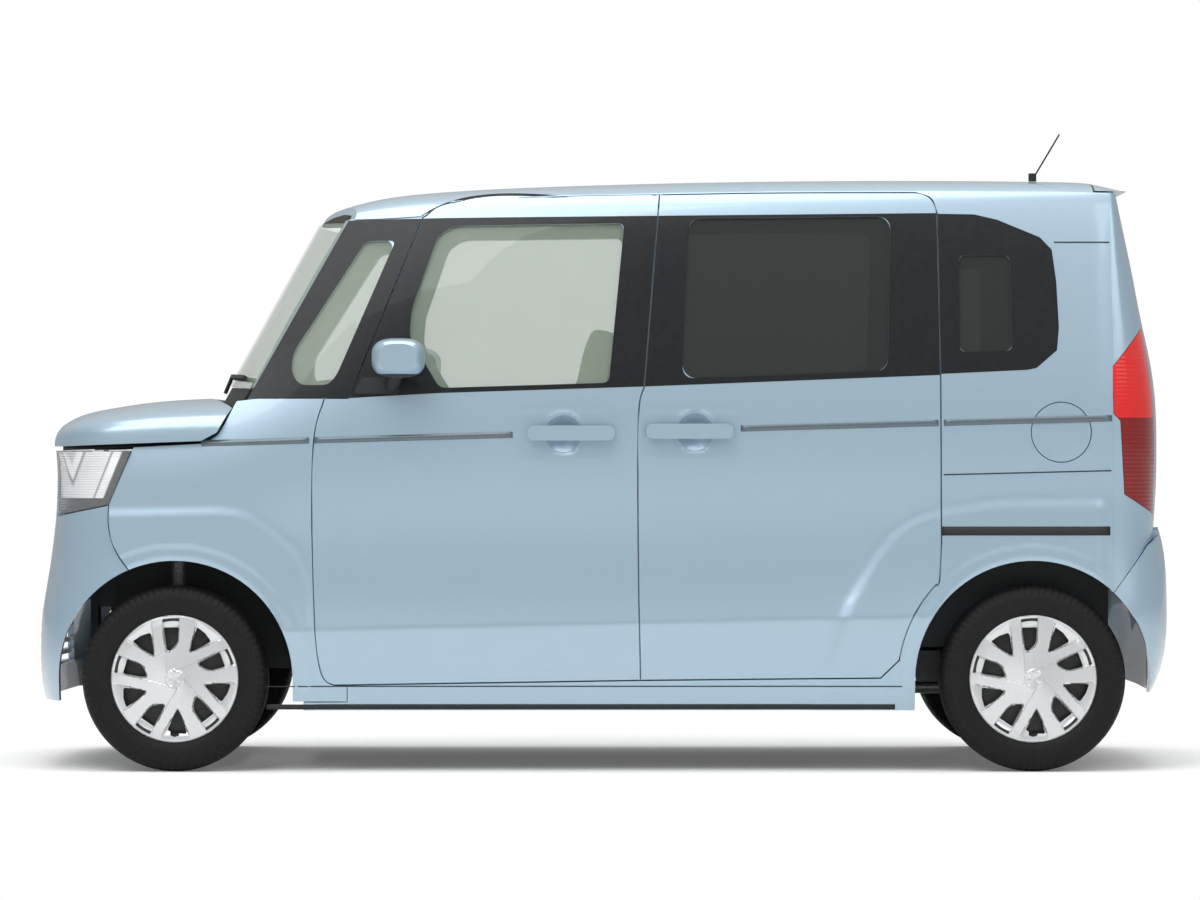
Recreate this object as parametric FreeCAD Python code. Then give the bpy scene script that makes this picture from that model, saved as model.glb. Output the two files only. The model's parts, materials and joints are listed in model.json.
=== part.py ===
import FreeCAD, Part
import math
import os
from FreeCAD import Vector

# Kei car, a tall five-door wagon with hinged front doors and sliding rear doors.
# Millimetres. The nose points to -X, the left side is -Y, +Z is up, and the origin
# is on the ground under the middle of the overall length.

# Driving sizes of the whole car
WHEELBASE = 2520.0
FRONT_OVERHANG = 443.0
REAR_OVERHANG = 432.0
WIDTH = 1475.0
ROOF_HEIGHT = 1766.0
TYRE_RADIUS = 273.0
TYRE_WIDTH = 155.0
WHEEL_INSET = 7.5
RIM_RADIUS = 178.0
ARCH_GAP = 74.0
ARCH_LIP = 46.0

LENGTH = FRONT_OVERHANG + WHEELBASE + REAR_OVERHANG
FRONT_AXLE_X = FRONT_OVERHANG - LENGTH / 2
REAR_AXLE_X = FRONT_AXLE_X + WHEELBASE
HALF_WIDTH = WIDTH / 2
WHEEL_Y = HALF_WIDTH - WHEEL_INSET - TYRE_WIDTH / 2
ARCH_RADIUS = TYRE_RADIUS + ARCH_GAP

# Body shell: wall thicknesses, panel gaps and the reach of cutting tools
SKIN = 18.0
WALL = 68.0
DOOR_DEPTH = 92.0
SASH_DEPTH = 46.0
DOOR_GAP = 7.0
SEAM = 3.0
SEAT_GAP = 0.3
FLANGE = 24.0
RUNNING_GAP = 8.0
PANE = 4.0
OVERRUN = 400.0
PANEL = 20.0
ROOF_WALL = 26.0
BUMPER_WALL = 24.0
FLOOR_WALL = 22.0
TUB_WALL = 6.0

# Side section of the body: (height, half width), as shares of the roof height and of
# the half width, below and above the sharp crease along the foot of the doors
CREASE_SHARE = 0.247
LOWER_SECTION_SHARES = [(0.080, 0.930), (0.103, 0.949), (0.143, 0.971), (0.200, 0.988), (0.247, 1.0)]
UPPER_SECTION_SHARES = [(0.247, 1.0), (0.294, 0.979), (0.340, 0.968), (0.408, 0.965),
                        (0.481, 0.972), (0.546, 0.979), (0.623, 0.969), (0.708, 0.942),
                        (0.793, 0.911), (0.878, 0.872), (0.929, 0.838)]
RAKE_SHARE = 0.022
ARCH_BASE_SHARE = 0.929
ARCH_LEAN_SHARE = 0.28
ROOF_POWER = 3.0

# Crown of the roof and of the bonnet: (station, height share); a station is -1 at the
# nose, 0 at the front axle, 1 at the rear axle and 2 at the tail
ROOF_CROWN_SHARES = [(0.154, 0.922), (0.170, 0.9365), (0.195, 0.952), (0.2425, 0.971),
                     (0.267, 0.976), (0.339, 0.983), (0.459, 0.9915), (0.676, 0.998),
                     (0.796, 1.0), (0.964, 0.998), (1.357, 0.995), (1.48, 0.991), (1.66, 0.978)]
BONNET_CROWN_SHARES = [(-0.892, 0.539), (-0.866, 0.566), (-0.83, 0.580), (-0.771, 0.5875),
                       (-0.683, 0.599), (-0.545, 0.6055), (-0.27, 0.6175), (0.0, 0.623),
                       (0.08, 0.626)]
BONNET_BASE_SHARES = [(-0.892, 0.5355), (0.09, 0.543)]
BONNET_POWER = 5.5
BONNET_WALL = 24.0

# Profiles of the nose and of the tail: (height share, station)
NOSE_SHARES = [(0.100, -0.955), (0.121, -0.972), (0.141, -0.996), (0.180, -1.0), (0.242, -1.0),
               (0.282, -0.978), (0.323, -0.945), (0.363, -0.922), (0.424, -0.892),
               (0.464, -0.886), (0.505, -0.886), (0.540, -0.897)]
BUMPER_TAIL_SHARES = [(0.130, 1.885), (0.161, 1.952), (0.181, 1.973), (0.221, 1.998), (0.262, 2.0),
                      (0.343, 1.994), (0.3835, 1.967), (0.404, 1.939)]
GATE_TAIL_SHARES = [(0.395, 1.900), (0.424, 1.911), (0.468, 1.925), (0.606, 1.925), (0.646, 1.911),
                    (0.686, 1.883), (0.727, 1.840), (0.767, 1.795), (0.8075, 1.767),
                    (0.848, 1.733), (0.8885, 1.691), (0.940, 1.640), (0.985, 1.600)]
NOSE_START_SHARE = -0.270
NOSE_POWER = 3.2
TAIL_START_SHARE = 1.543
TAIL_POWER = 3.5

# Blisters over the wheels: how far they stand out and their half axes
BLISTER = 13.0
BLISTER_REACH = 400.0
BLISTER_RISE = 500.0
BLISTER_POWER = 3.0
BLISTER_EDGE_SHARE = 0.30
PILLAR_TUCK = 55.0
PILLAR_REACH = 450.0
TAIL_TUCK = 12.0

# Windscreen: foot and top on the centre line, and on its near edge in the side view
SCREEN_FOOT_SHARES = (0.0466, 0.645)
SCREEN_TOP_SHARES = (0.1538, 0.922)
SCREEN_BOW = 112.0
SCREEN_DROP = 12.0
SCREEN_GLASS = 6.0

# Seams in the side view, as (station, height share)
DOOR_TOP_SHARES = [(0.2875, 0.924), (0.3232, 0.950), (0.4427, 0.959), (0.5653, 0.9625)]
DOOR_REAR_SHARES = [(0.547, 0.640), (0.541, 0.605), (0.5395, 0.491), (0.5405, 0.304),
                    (0.5427, 0.152)]
DOOR_FRONT_SHARES = [(0.1855, 0.144), (0.1752, 0.152), (0.1685, 0.177), (0.1637, 0.237),
                     (0.1597, 0.406), (0.1621, 0.555), (0.174, 0.621)]
DOOR_SHOULDER_SHARE = (0.2026, 0.621)
SLIDER_TOP_SHARES = [(0.5653, 0.9625), (0.7, 0.9655), (0.8657, 0.966)]
SLIDER_CORNER_SHARES = [(0.8657, 0.966), (0.883, 0.956), (0.8899, 0.9326)]
SLIDER_REAR_SHARES = [(0.8923, 0.660), (0.893, 0.3805)]
SLIDER_ARCH_DEGREES = (134.0, 150.0, 172.0)
SLIDER_FOOT_SHARE = (0.822, 0.156)
SLIDER_GAP = 5.0
ROOF_SEAM_SHARES = [(0.150, 0.9195), (0.240, 0.9225), (0.2855, 0.9262), (0.3222, 0.9525),
                    (0.4427, 0.9615), (0.5653, 0.965), (0.7, 0.968), (0.8657, 0.9685),
                    (1.2, 0.967), (1.45, 0.9655)]
SPOILER_SEAM_SHARE = 1.435
FENDER_TOP_SHARES = [(-0.791, 0.537), (0.0307, 0.546), (0.049, 0.560), (0.0708, 0.617)]
FENDER_LAMP_SHARES = [(-0.437, 0.444), (-0.277, 0.540)]
BUMPER_SEAM_SHARES = [(-0.305, 0.336), (-0.420, 0.385), (-0.437, 0.444)]
SILL_FOOT_SHARE = 0.116
FENDER_TIP_SHARE = 0.201
PILLAR_FOOT_SHARE = (0.094, 0.621)
LAMP_SHARES = [(-0.277, 0.540), (-0.437, 0.444), (-0.868, 0.4225), (-1.05, 0.4225),
               (-1.05, 0.534), (-0.80, 0.534)]
TAIL_LAMP_SHARES = [(1.767, 0.741), (1.541, 0.672), (1.550, 0.595), (1.596, 0.584),
                    (1.619, 0.485), (1.624, 0.4615), (1.851, 0.427), (1.881, 0.498),
                    (1.890, 0.589), (1.815, 0.7345)]

# Windows in the side view
DOOR_GLASS_SHARES = [(0.306, 0.8935), (0.3236, 0.910), (0.524, 0.914), (0.5058, 0.6467),
                     (0.3085, 0.638), (0.2732, 0.723), (0.2756, 0.770)]
QUARTER_PANE_SHARES = [(0.2208, 0.8845), (0.2562, 0.886), (0.1883, 0.6597), (0.178, 0.643),
                       (0.145, 0.643), (0.1347, 0.665), (0.137, 0.698)]
SLIDER_GLASS_SHARES = [(0.5994, 0.922), (0.8355, 0.925), (0.8308, 0.6665), (0.591, 0.6535)]
REAR_PANE_SHARES = [(0.915, 0.860), (0.974, 0.860), (0.976, 0.700), (0.915, 0.698)]

# Belt crease, handles, fuel lid and mirror, in the side view
BELT_CREASE_SHARES = [(0.031, 0.546), (1.52, 0.588)]
BELT_CREASE_BREAK_SHARES = (0.407, 0.656)
BELT_CREASE_HEIGHT = 18.0
BELT_CREASE_DEPTH = 5.0
HANDLE_LENGTH = 256.0
HANDLE_HEIGHT = 44.0
HANDLE_WALL = 16.0
HANDLE_STANDOFF = 12.0
FRONT_HANDLE_SHARE = (0.462, 0.563)
SLIDER_HANDLE_SHARE = (0.600, 0.566)
BOWL_RADIUS = 59.0
BOWL_DEPTH = 26.0
FUEL_LID_SHARE = (1.191, 0.5645)
FUEL_LID_RADIUS = 87.0
FUEL_LID_GAP = 5.0
FUEL_LID_WALL = 8.0
FUEL_POCKET_DEPTH = 56.0
FUEL_CAP_RADIUS = 34.0
FUEL_CAP_HEIGHT = 26.0
LID_REST_RADIUS = 5.0
MIRROR_SHARE = (0.262, 0.687)
MIRROR_HALF_LENGTH = 76.0
MIRROR_HALF_HEIGHT = 56.0
MIRROR_INNER_Y = 742.0
MIRROR_OUTER_Y = 876.0
MIRROR_BASE_SHARES = [(0.2075, 0.628), (0.262, 0.628), (0.258, 0.656), (0.218, 0.656)]
MIRROR_ARM_RADIUS = 24.0

# Tailgate, seen from behind: half width of its seam, as (height share, half width share)
GATE_SEAM_SHARES = [(0.404, 0.775), (0.50, 0.800), (0.70, 0.800), (0.90, 0.755), (0.962, 0.715)]
GATE_WALL = 46.0
GATE_GLASS_SHARES = [(0.650, 0.690), (0.905, 0.640)]
GATE_FOOT_SHARE = 0.404
LAMP_DEPTH = 70.0
GATE_TOP_SHARE = 0.9655
CORNER_FOOT_SHARE = 0.29
NECK_HALF_WIDTH = 480.0
NECK_LENGTH = 21.0
BUMPER_STEP_HALF_WIDTH = 560.0

# Floor, interior and running gear
FLOOR_SHARE = 0.178
LOAD_FLOOR_SHARE = 0.330
FLOOR_REAR_SHARE = 0.870
FIREWALL_X_SHARE = 0.1429
FIREWALL_TOP_SHARE = 0.560
FRONT_PANEL_SHARE = -0.62
SEAT_WIDTH = 470.0
SEAT_Y = 310.0
DASH_SHARES = [(0.150, 0.600), (0.150, 0.648), (0.230, 0.662), (0.262, 0.650), (0.272, 0.600),
               (0.240, 0.540), (0.235, 0.470), (0.185, 0.450)]
COLUMN_SHARES = [(0.245, 0.556), (0.300, 0.598)]
STEERING_WHEEL_RADIUS = 180.0
STEERING_GRIP = 14.0
COLUMN_RADIUS = 26.0
HUB_RADIUS = 44.0
ENGINE_LENGTH = 380.0
ENGINE_WIDTH = 620.0
ENGINE_HEIGHT = 420.0


# Smaller pieces: their sizes, and shares of the wheelbase, overhangs and roof height
GROWN_POINTS = 9
SKIN_STATIONS = [-0.45, -0.2, 0.0, 0.07, 0.14, 0.21, 0.3,
                 0.45, 0.65, 0.80, 0.87, 0.94, 1.0, 1.3, TAIL_START_SHARE]
LOWER_LEVEL_SHARES = [0.084, 0.160, 0.247]
UPPER_LEVEL_SHARES = [0.247, 0.290, 0.340, 0.410, 0.50, 0.60, 0.70, 0.80, 0.88, 0.93, 0.972]
CORE_STATIONS = [-0.45, 0.0, 0.10, 0.28, 0.60, 1.0, TAIL_START_SHARE]
CORE_LEVEL_SHARES = [0.080, 0.247, 0.400, 0.623, 0.793, 0.929, 0.974]
ROUND_ANGLES = [-90, -60, -50, -45, -40, -25, 0, 25, 40, 45, 50, 60, 90]
CORE_ANGLES = [-90, -58, -45, -32, 0, 32, 45, 58, 90]
SIDE_FOOT_SHARES = [(0.150, 0.102), (1.05, 0.102)]
SIDE_TAIL_SHARES = [(1.547, 0.2995), (1.79, 0.378), (1.95, 0.405)]
ARCH_KNOTS = [0, 25, 40, 55, 90, 125, 140, 155, 180]
ROOF_STATIONS = [0.154, 0.19, 0.23, 0.30, 0.45, 0.8, 1.2, SPOILER_SEAM_SHARE]
BONNET_STATIONS = [-0.887, -0.875, -0.85, -0.80, -0.70, -0.55, -0.30, 0.0, 0.0708]
LAMP_INNER_Y = 350.0
LAMP_HOUSING = 110.0
BUMPER_TOP_SHARE = 0.480
INTAKE_HALF_WIDTH = 420.0
INTAKE_SHARES = (0.165, 0.245)
INTAKE_BARS = 3
BAR_HEIGHT = 14.0
PLATE_SHARE = 0.305
PLATE_HOLE_SPACING = 210.0
PLATE_HOLE_RADIUS = 3.3
LAMP_PANEL_Y = 540.0
COWL_WALL = 60.0
PANE_DEPTH = 6.0
FOOT_SHARE = 0.78
MIRROR_SECTION_SHARES = [(0.0, 0.82), (0.35, 1.0), (0.8, 0.96), (1.0, 0.72)]
MIRROR_PLATE = 9.0
REAR_PLATE_SHARE = 0.462
RAIL_HALF_WIDTHS = (340.0, 400.0)
RAIL_SHARES = (0.27, 0.315)
TUB_INNER_Y = 402.0
REAR_TUB_INNER_Y = 545.0
TOWER_RADIUS = 70.0
TOWER_SHARE = 0.44
TAIL_FLOOR_Y = 560.0
FRONT_PANEL_FOOT_SHARE = 0.20
FRONT_PANEL_TOP_SHARE = 0.525
RADIATOR_SHARES = (0.235, 0.46)
TOWER_FOOT_SHARE = 0.8
DASH_HALF_WIDTH = 585.0
DASH_RAIL = 62.0
STRIKER_RADIUS = 8.0
RADIATOR_HALF_WIDTH = 300.0
STRUT_TOP_Y = 540.0
CUSHION_HEIGHT = 130.0
SEAT_DEPTH = 480.0
BACK_THICKNESS = 120.0
BACK_HEIGHT = 560.0
HEAD_HEIGHT = 170.0
SEAT_BASE = 150.0
FRONT_SEAT_SHARE = 0.46
REAR_SEAT_SHARE = 0.815
BACK_LEAN_DEGREES = 12.0
HUB_FACE = 30.0
SPINDLE_RADIUS = 28.0
BRAKE_RADIUS = 125.0
BRAKE_WALL = 22.0
STRUT_RADIUS = 22.0
ARM_HEIGHT = 26.0
COVER_RADIUS = 192.0
COVER_WALL = 5.0
COVER_WINDOWS = 10
COVER_CAP_RADIUS = 30.0
COVER_DISH = 26.0
RIM_WALL = 5.0
RIM_HALF_WIDTH = 62.0
DISC_INSET = 18.0
TREAD_GROOVE = 6.0
# Windows of the wheel cover, as (radius share, turn share of the pitch), for a window
# between two blades of one arm and for one between two arms
ARM_WINDOW_SHARES = [(0.46, 0.0), (0.84, -0.30), (0.86, 0.0), (0.84, 0.27)]
GAP_WINDOW_SHARES = [(0.44, -0.10), (0.62, -0.29), (0.84, -0.24), (0.86, 0.0), (0.84, 0.26),
                     (0.56, 0.16)]
BALL_JOINT_Y = STRUT_TOP_Y
LOWER_ARM_Z = 180.0
MEMBER_HALF_WIDTH = 335.0
MEMBER_LENGTH = 240.0
MEMBER_HEIGHT = 60.0
TANK_SHARES = (0.58, 0.80)
TANK_HALF_WIDTH = 300.0
TANK_HEIGHT = 120.0
PIPE_RADIUS = 20.0
PIPE_Y = 350.0
PIPE_Z = 205.0
MUFFLER_RADIUS = 70.0
MUFFLER_LENGTH = 260.0
BEAM_RADIUS = 34.0
HANGER_RADIUS = 5.0
SPRING_Y = 460.0
WIPER_RADIUS = 6.0
ANTENNA_SHARES = [(1.068, 0.990), (1.256, 1.0725)]
ANTENNA_RADIUS = 2.5
ANTENNA_FOOT_RADIUS = 12.0
ANTENNA_FOOT_HEIGHT = 24.0
REAR_WIPER_LENGTH = 300.0
WIPER_ARM_SHARE = 9.0
WIPER_SPANS_SHARES = ((-0.78, -0.12), (0.02, 0.62))
ANTENNA_Y = -300.0


# Places

def along(station):
    """X of a station: -1 nose, 0 front axle, 1 rear axle, 2 tail."""
    if station < 0:
        return FRONT_AXLE_X + station * FRONT_OVERHANG
    if station > 1:
        return REAR_AXLE_X + (station - 1) * REAR_OVERHANG
    return FRONT_AXLE_X + station * WHEELBASE


def up(share):
    return share * ROOF_HEIGHT


def spots(shares):
    return [(along(station), up(height)) for station, height in shares]


def curve(table, place):
    """Smooth value at a place in a table of (place, value) pairs: a cubic between each
    two pairs, with slopes taken from the neighbouring pairs."""
    if place <= table[0][0]:
        return table[0][1]
    if place >= table[-1][0]:
        return table[-1][1]
    index = 1
    while table[index][0] < place:
        index += 1
    first, second = index - 1, index

    def slope(item):
        before, after = max(item - 1, 0), min(item + 1, len(table) - 1)
        return (table[after][1] - table[before][1]) / (table[after][0] - table[before][0])

    span = table[second][0] - table[first][0]
    part = (place - table[first][0]) / span
    rise = part * part * (3 - 2 * part)
    bend_in = part * (1 - part) ** 2
    bend_out = part * part * (part - 1)
    return (table[first][1] * (1 - rise) + table[second][1] * rise
            + span * (slope(first) * bend_in + slope(second) * bend_out))


def ease(part):
    part = min(max(part, 0.0), 1.0)
    return part * part * (3 - 2 * part)


# The body's outer skin


def screen_edge_x(z):
    foot = along(SCREEN_FOOT_SHARES[0]) + SCREEN_BOW
    top = along(SCREEN_TOP_SHARES[0]) + SCREEN_BOW
    low = up(SCREEN_FOOT_SHARES[1]) - SCREEN_DROP
    high = up(SCREEN_TOP_SHARES[1]) - SCREEN_DROP
    return foot + (top - foot) * (z - low) / (high - low)


def blister(x, z, axle_x):
    across = abs(x - axle_x) / BLISTER_REACH
    above = max(z - TYRE_RADIUS, 0) / BLISTER_RISE
    reach = (across ** BLISTER_POWER + above ** BLISTER_POWER) ** (1 / BLISTER_POWER)
    return BLISTER * ease((1 - reach) / BLISTER_EDGE_SHARE)


def half_width(x, z, below=False):
    """Half width of the body at a place, from the section table, narrowed towards the
    windscreen, the nose and the tail and swollen over the wheels."""
    level = (z - RAKE_SHARE * x) / ROOF_HEIGHT
    if below:
        width = HALF_WIDTH * curve(LOWER_SECTION_SHARES, level)
    elif level <= ARCH_BASE_SHARE:
        width = HALF_WIDTH * curve(UPPER_SECTION_SHARES, level)
    else:
        base = HALF_WIDTH * UPPER_SECTION_SHARES[-1][1]
        rise = (level - ARCH_BASE_SHARE) * ROOF_HEIGHT
        part = min(rise / (up(1 - ARCH_BASE_SHARE)), 1.0)
        width = (base - ARCH_LEAN_SHARE * rise) * (1 - part ** ROOF_POWER) ** (1 / ROOF_POWER)
    width += blister(x, z, FRONT_AXLE_X) + blister(x, z, REAR_AXLE_X)
    inward = max(0.0, 1 - (x - screen_edge_x(z)) / PILLAR_REACH)
    low = up(BONNET_BASE_SHARES[0][1])
    high = up(SCREEN_FOOT_SHARES[1])
    width -= PILLAR_TUCK * min(inward, 1.3) ** 2 * ease((z - low) / (high - low))
    width -= TAIL_TUCK * max(0.0, (x - REAR_AXLE_X / 2) / REAR_AXLE_X) ** 2
    start = along(NOSE_START_SHARE)
    if x < start:
        reach = start - along(curve(NOSE_SHARES, z / ROOF_HEIGHT))
        part = min((start - x) / reach, 1.0)
        width *= (1 - part ** NOSE_POWER) ** (1 / NOSE_POWER)
    return width


def roof_crown(x):
    return up(curve([(along(s), h) for s, h in ROOF_CROWN_SHARES], x))


def arch_base_z(x):
    return up(ARCH_BASE_SHARE) + RAKE_SHARE * x


# Faces and solids from formulas

def steps(start, end, count):
    return [start + (end - start) * item / (count - 1) for item in range(count)]


def control_places(knots, degree=3):
    """Places of the steering points that make a spline run evenly over its knots."""
    full = [knots[0]] * degree + list(knots) + [knots[-1]] * degree
    return [sum(full[item + 1:item + degree + 1]) / degree
            for item in range(len(full) - degree - 1)]


def smooth_surface(point, u_knots, v_knots, degree=3):
    """Smooth surface near point(u, v), a spline whose steering points the formula gives."""
    rows = [[point(u, v) for v in control_places(v_knots)] for u in control_places(u_knots)]
    counts = [[degree + 1] + [1] * (len(knots) - 2) + [degree + 1] for knots in (u_knots, v_knots)]
    surface = Part.BSplineSurface()
    surface.buildFromPolesMultsKnots(rows, counts[0], counts[1], u_knots, v_knots,
                                     False, False, degree, degree)
    return surface


def capped(surface):
    """Solid under an arched surface: each end of the arch and its long foot are flat."""
    u_first, u_last, v_first, v_last = surface.bounds()
    ends = [surface.uIso(u).toShape() for u in (u_first, u_last)]
    feet = [surface.vIso(v).toShape() for v in (v_first, v_last)]
    lines = [Part.makeLine(surface.value(u, v_first), surface.value(u, v_last))
             for u in (u_first, u_last)]
    faces = [surface.toShape()]
    faces += [Part.Face(Part.Wire([end, line])) for end, line in zip(ends, lines)]
    faces.append(Part.Face(Part.Wire(Part.__sortEdges__(feet + lines))))
    shell = Part.makeShell(faces)
    shell.sewShape()
    return positive(Part.Solid(shell))


def faceted(rings):
    """Solid through a row of rings with as many points each, in flat facets."""
    faces = []
    for ring, following in zip(rings, rings[1:]):
        for item, corner in enumerate(ring):
            after = (item + 1) % len(ring)
            for three in ((corner, ring[after], following[item]),
                          (ring[after], following[after], following[item])):
                faces.append(Part.Face(Part.makePolygon(list(three) + [three[0]])))
    for ring in (rings[0], rings[-1]):
        faces.append(Part.Face(Part.makePolygon(ring + ring[:1])))
    shell = Part.makeShell(faces)
    shell.sewShape()
    return positive(Part.Solid(shell))


def positive(solid):
    if solid.Volume < 0:
        solid.reverse()
    return solid


def joined(first, *others):
    return first.multiFuse(list(others)).removeSplitter() if others else first


def cut(shape, *tools):
    return shape.cut(list(tools))


def biggest(shape):
    return max(shape.Solids, key=lambda solid: solid.Volume)


def mirrored(shape):
    return shape.mirror(Vector(0, 0, 0), Vector(0, 1, 0))


def both(shape):
    return Part.makeCompound([shape, mirrored(shape)])


def block(x_range, y_range, z_range):
    corner = Vector(x_range[0], y_range[0], z_range[0])
    return Part.makeBox(x_range[1] - x_range[0], y_range[1] - y_range[0],
                        z_range[1] - z_range[0], corner)


def rod(radius, start, end):
    start, end = Vector(*start), Vector(*end)
    return Part.makeCylinder(radius, (end - start).Length, start, end - start)


def side_face(*runs):
    """Face in the side view, bounded by runs: two points are a line, more are a curve."""
    edges = []
    for run in runs:
        points = [Vector(x, 0, z) for x, z in run]
        if len(points) == 2:
            edges.append(Part.makeLine(points[0], points[1]))
        else:
            bend = Part.BSplineCurve()
            bend.interpolate(points)
            edges.append(bend.toShape())
    return Part.Face(Part.Wire(edges))


def side_polygon(points):
    vectors = [Vector(x, 0, z) for x, z in points]
    return Part.Face(Part.makePolygon(vectors + vectors[:1]))


def rounded(points, radius, place):
    """Face of a polygon with its corners rounded; place makes a vector of a pair."""
    vectors = [place(point) for point in points]
    count = len(vectors)
    edges, last = [], None
    first = None
    for item in range(count):
        corner = vectors[item]
        back = vectors[item - 1] - corner
        ahead = vectors[(item + 1) % count] - corner
        half = back.getAngle(ahead) / 2
        trim = min(radius / math.tan(half), back.Length * 0.45, ahead.Length * 0.45)
        back.normalize()
        ahead.normalize()
        start, end = corner + back * trim, corner + ahead * trim
        middle = corner + (back + ahead).normalize() * (trim * (1 / math.cos(half) - math.tan(half)))
        if last is not None:
            edges.append(Part.makeLine(last, start))
        else:
            first = start
        edges.append(Part.Arc(start, middle, end).toShape())
        last = end
    edges.append(Part.makeLine(last, first))
    return Part.Face(Part.Wire(edges))


def in_side(point):
    return Vector(point[0], 0, point[1])


def across(face, y_range=(-HALF_WIDTH - OVERRUN, 0)):
    moved = face.copy()
    moved.translate(Vector(0, y_range[0], 0))
    return moved.extrude(Vector(0, y_range[1] - y_range[0], 0))


def grown(face, gap):
    """Outline moved out by a gap, with each offset curve drawn anew as a spline."""
    edges = []
    for edge in face.makeOffset2D(gap, join=0).OuterWire.OrderedEdges:
        if edge.Curve.TypeId == "Part::GeomOffsetCurve":
            spline = Part.BSplineCurve()
            spline.interpolate(edge.discretize(GROWN_POINTS))
            edge = spline.toShape()
        edges.append(edge)
    return Part.Face(Part.Wire(edges))


# The left side skin, two smooth bands that share the foot crease, and the inside


def skin_point(x, level, below=False):
    z = level + RAKE_SHARE * x
    return Vector(x, -half_width(x, z, below), z)


def skin_region():
    """Everything from the left skin to well inside the body."""
    stations = [along(station) for station in SKIN_STATIONS]
    lower = smooth_surface(lambda x, level: skin_point(x, level, True), stations,
                           [up(level) for level in LOWER_LEVEL_SHARES])
    upper = smooth_surface(skin_point, stations, [up(level) for level in UPPER_LEVEL_SHARES])
    inward = Vector(0, HALF_WIDTH / 2, 0)
    bands = [positive(band.toShape().extrude(inward)) for band in (lower, upper)]
    return bands[0].fuse(bands[1]).removeSplitter()


SKIN_REGION = skin_region()
CORES = {}


def core(depth):
    """The inside of the body, deeper than the depth below both side skins."""
    if depth not in CORES:
        rings = []
        for station in CORE_STATIONS:
            left = [skin_point(along(station), up(level), level < CREASE_SHARE)
                    for level in CORE_LEVEL_SHARES]
            left = [point + Vector(0, depth, 0) for point in left]
            rings.append(left + [Vector(point.x, -point.y, point.z) for point in left[::-1]])
        CORES[depth] = faceted(rings)
    return CORES[depth]


def corner_point(start, power, table, z, angle, depth=0.0):
    """Point round the nose or the tail: a superellipse in the plan view, from the side
    skin over the centre line to the other side."""
    reach = along(curve(table, z / ROOF_HEIGHT)) - start
    reach -= math.copysign(depth, reach)
    level = z - RAKE_SHARE * start
    wide = half_width(start, z, level < up(CREASE_SHARE)) - depth
    turn = math.radians(angle)
    size = (abs(math.cos(turn)) ** power + abs(math.sin(turn)) ** power) ** (-1 / power)
    return Vector(start + reach * size * math.cos(turn), wide * size * math.sin(turn), z)


def wrap_region(start, power, table, low, high):
    heights = steps(up(low), up(high), 9)
    return capped(smooth_surface(lambda z, angle: corner_point(start, power, table, z, angle),
                                 heights, ROUND_ANGLES))


def wrap_core(start, power, table, low, high, depth):
    rings = [[corner_point(start, power, table, z, angle, depth) for angle in CORE_ANGLES]
             for z in steps(up(low) - OVERRUN / 9, up(high) + OVERRUN / 9, 7)]
    return faceted(rings)


def nose_region(low, high):
    return wrap_region(along(NOSE_START_SHARE), NOSE_POWER, NOSE_SHARES, low, high)


def nose_core(low, high, depth):
    return wrap_core(along(NOSE_START_SHARE), NOSE_POWER, NOSE_SHARES, low, high, depth)


def tail_region(table, low, high):
    return wrap_region(along(TAIL_START_SHARE), TAIL_POWER, table, low, high)


def tail_core(table, low, high, depth):
    return wrap_core(along(TAIL_START_SHARE), TAIL_POWER, table, low, high, depth)


# Outlines in the side view

def arch_arc(degrees, radius):
    return [(REAR_AXLE_X + radius * math.cos(math.radians(angle)),
             TYRE_RADIUS + radius * math.sin(math.radians(angle))) for angle in degrees]


def door_outline():
    top, rear, front = spots(DOOR_TOP_SHARES), spots(DOOR_REAR_SHARES), spots(DOOR_FRONT_SHARES)
    shoulder = spots([DOOR_SHOULDER_SHARE])[0]
    return side_face(top, [top[-1], rear[0]], rear, [rear[-1], front[0]], front,
                     [front[-1], shoulder], [shoulder, top[0]])


def slider_outline():
    top, front = spots(SLIDER_TOP_SHARES), spots(DOOR_REAR_SHARES)
    corner, rear = spots(SLIDER_CORNER_SHARES), spots(SLIDER_REAR_SHARES)
    foot = spots([SLIDER_FOOT_SHARE])[0]
    arch = [rear[-1]] + arch_arc(SLIDER_ARCH_DEGREES, ARCH_RADIUS + ARCH_LIP + SLIDER_GAP)
    return side_face(top, corner, [corner[-1], rear[0]], [rear[0], rear[1]], arch,
                     [arch[-1], foot], [foot, front[-1]], front[::-1], [front[0], top[0]])


def arch_cut(axle_x, extra=0.0):
    arch = rod(ARCH_RADIUS + extra, (axle_x, -HALF_WIDTH - OVERRUN, TYRE_RADIUS),
               (axle_x, 0, TYRE_RADIUS))
    foot = block((axle_x - ARCH_RADIUS - extra, axle_x + ARCH_RADIUS + extra),
                 (-HALF_WIDTH - OVERRUN, 0), (0, TYRE_RADIUS))
    return arch.fuse(foot)


def fender_outline():
    top, lamp, bumper = spots(FENDER_TOP_SHARES), spots(FENDER_LAMP_SHARES), spots(BUMPER_SEAM_SHARES)
    front, tip = spots(DOOR_FRONT_SHARES), along(FENDER_TIP_SHARE)
    foot = up(SILL_FOOT_SHARE)
    pillar = spots([PILLAR_FOOT_SHARE])[0]
    return side_face([lamp[1], top[1]], top[1:], [top[3], pillar], [pillar, front[-1]], front[::-1],
                     [front[0], (tip, front[0][1])], [(tip, front[0][1]), (tip, foot)],
                     [(tip, foot), (FRONT_AXLE_X, foot)], [(FRONT_AXLE_X, foot), bumper[0]],
                     bumper, [bumper[-1], lamp[1]])


def panel(outline, depth, gap):
    """Panel of the left side skin inside an outline, its edge set back by a gap."""
    return SKIN_REGION.common(across(grown(outline, -gap))).cut(core(depth))


def above_belt():
    return block((along(-1), along(2)), (-WIDTH, 0), (up(DOOR_SHOULDER_SHARE[1]), ROOF_HEIGHT))


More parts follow.
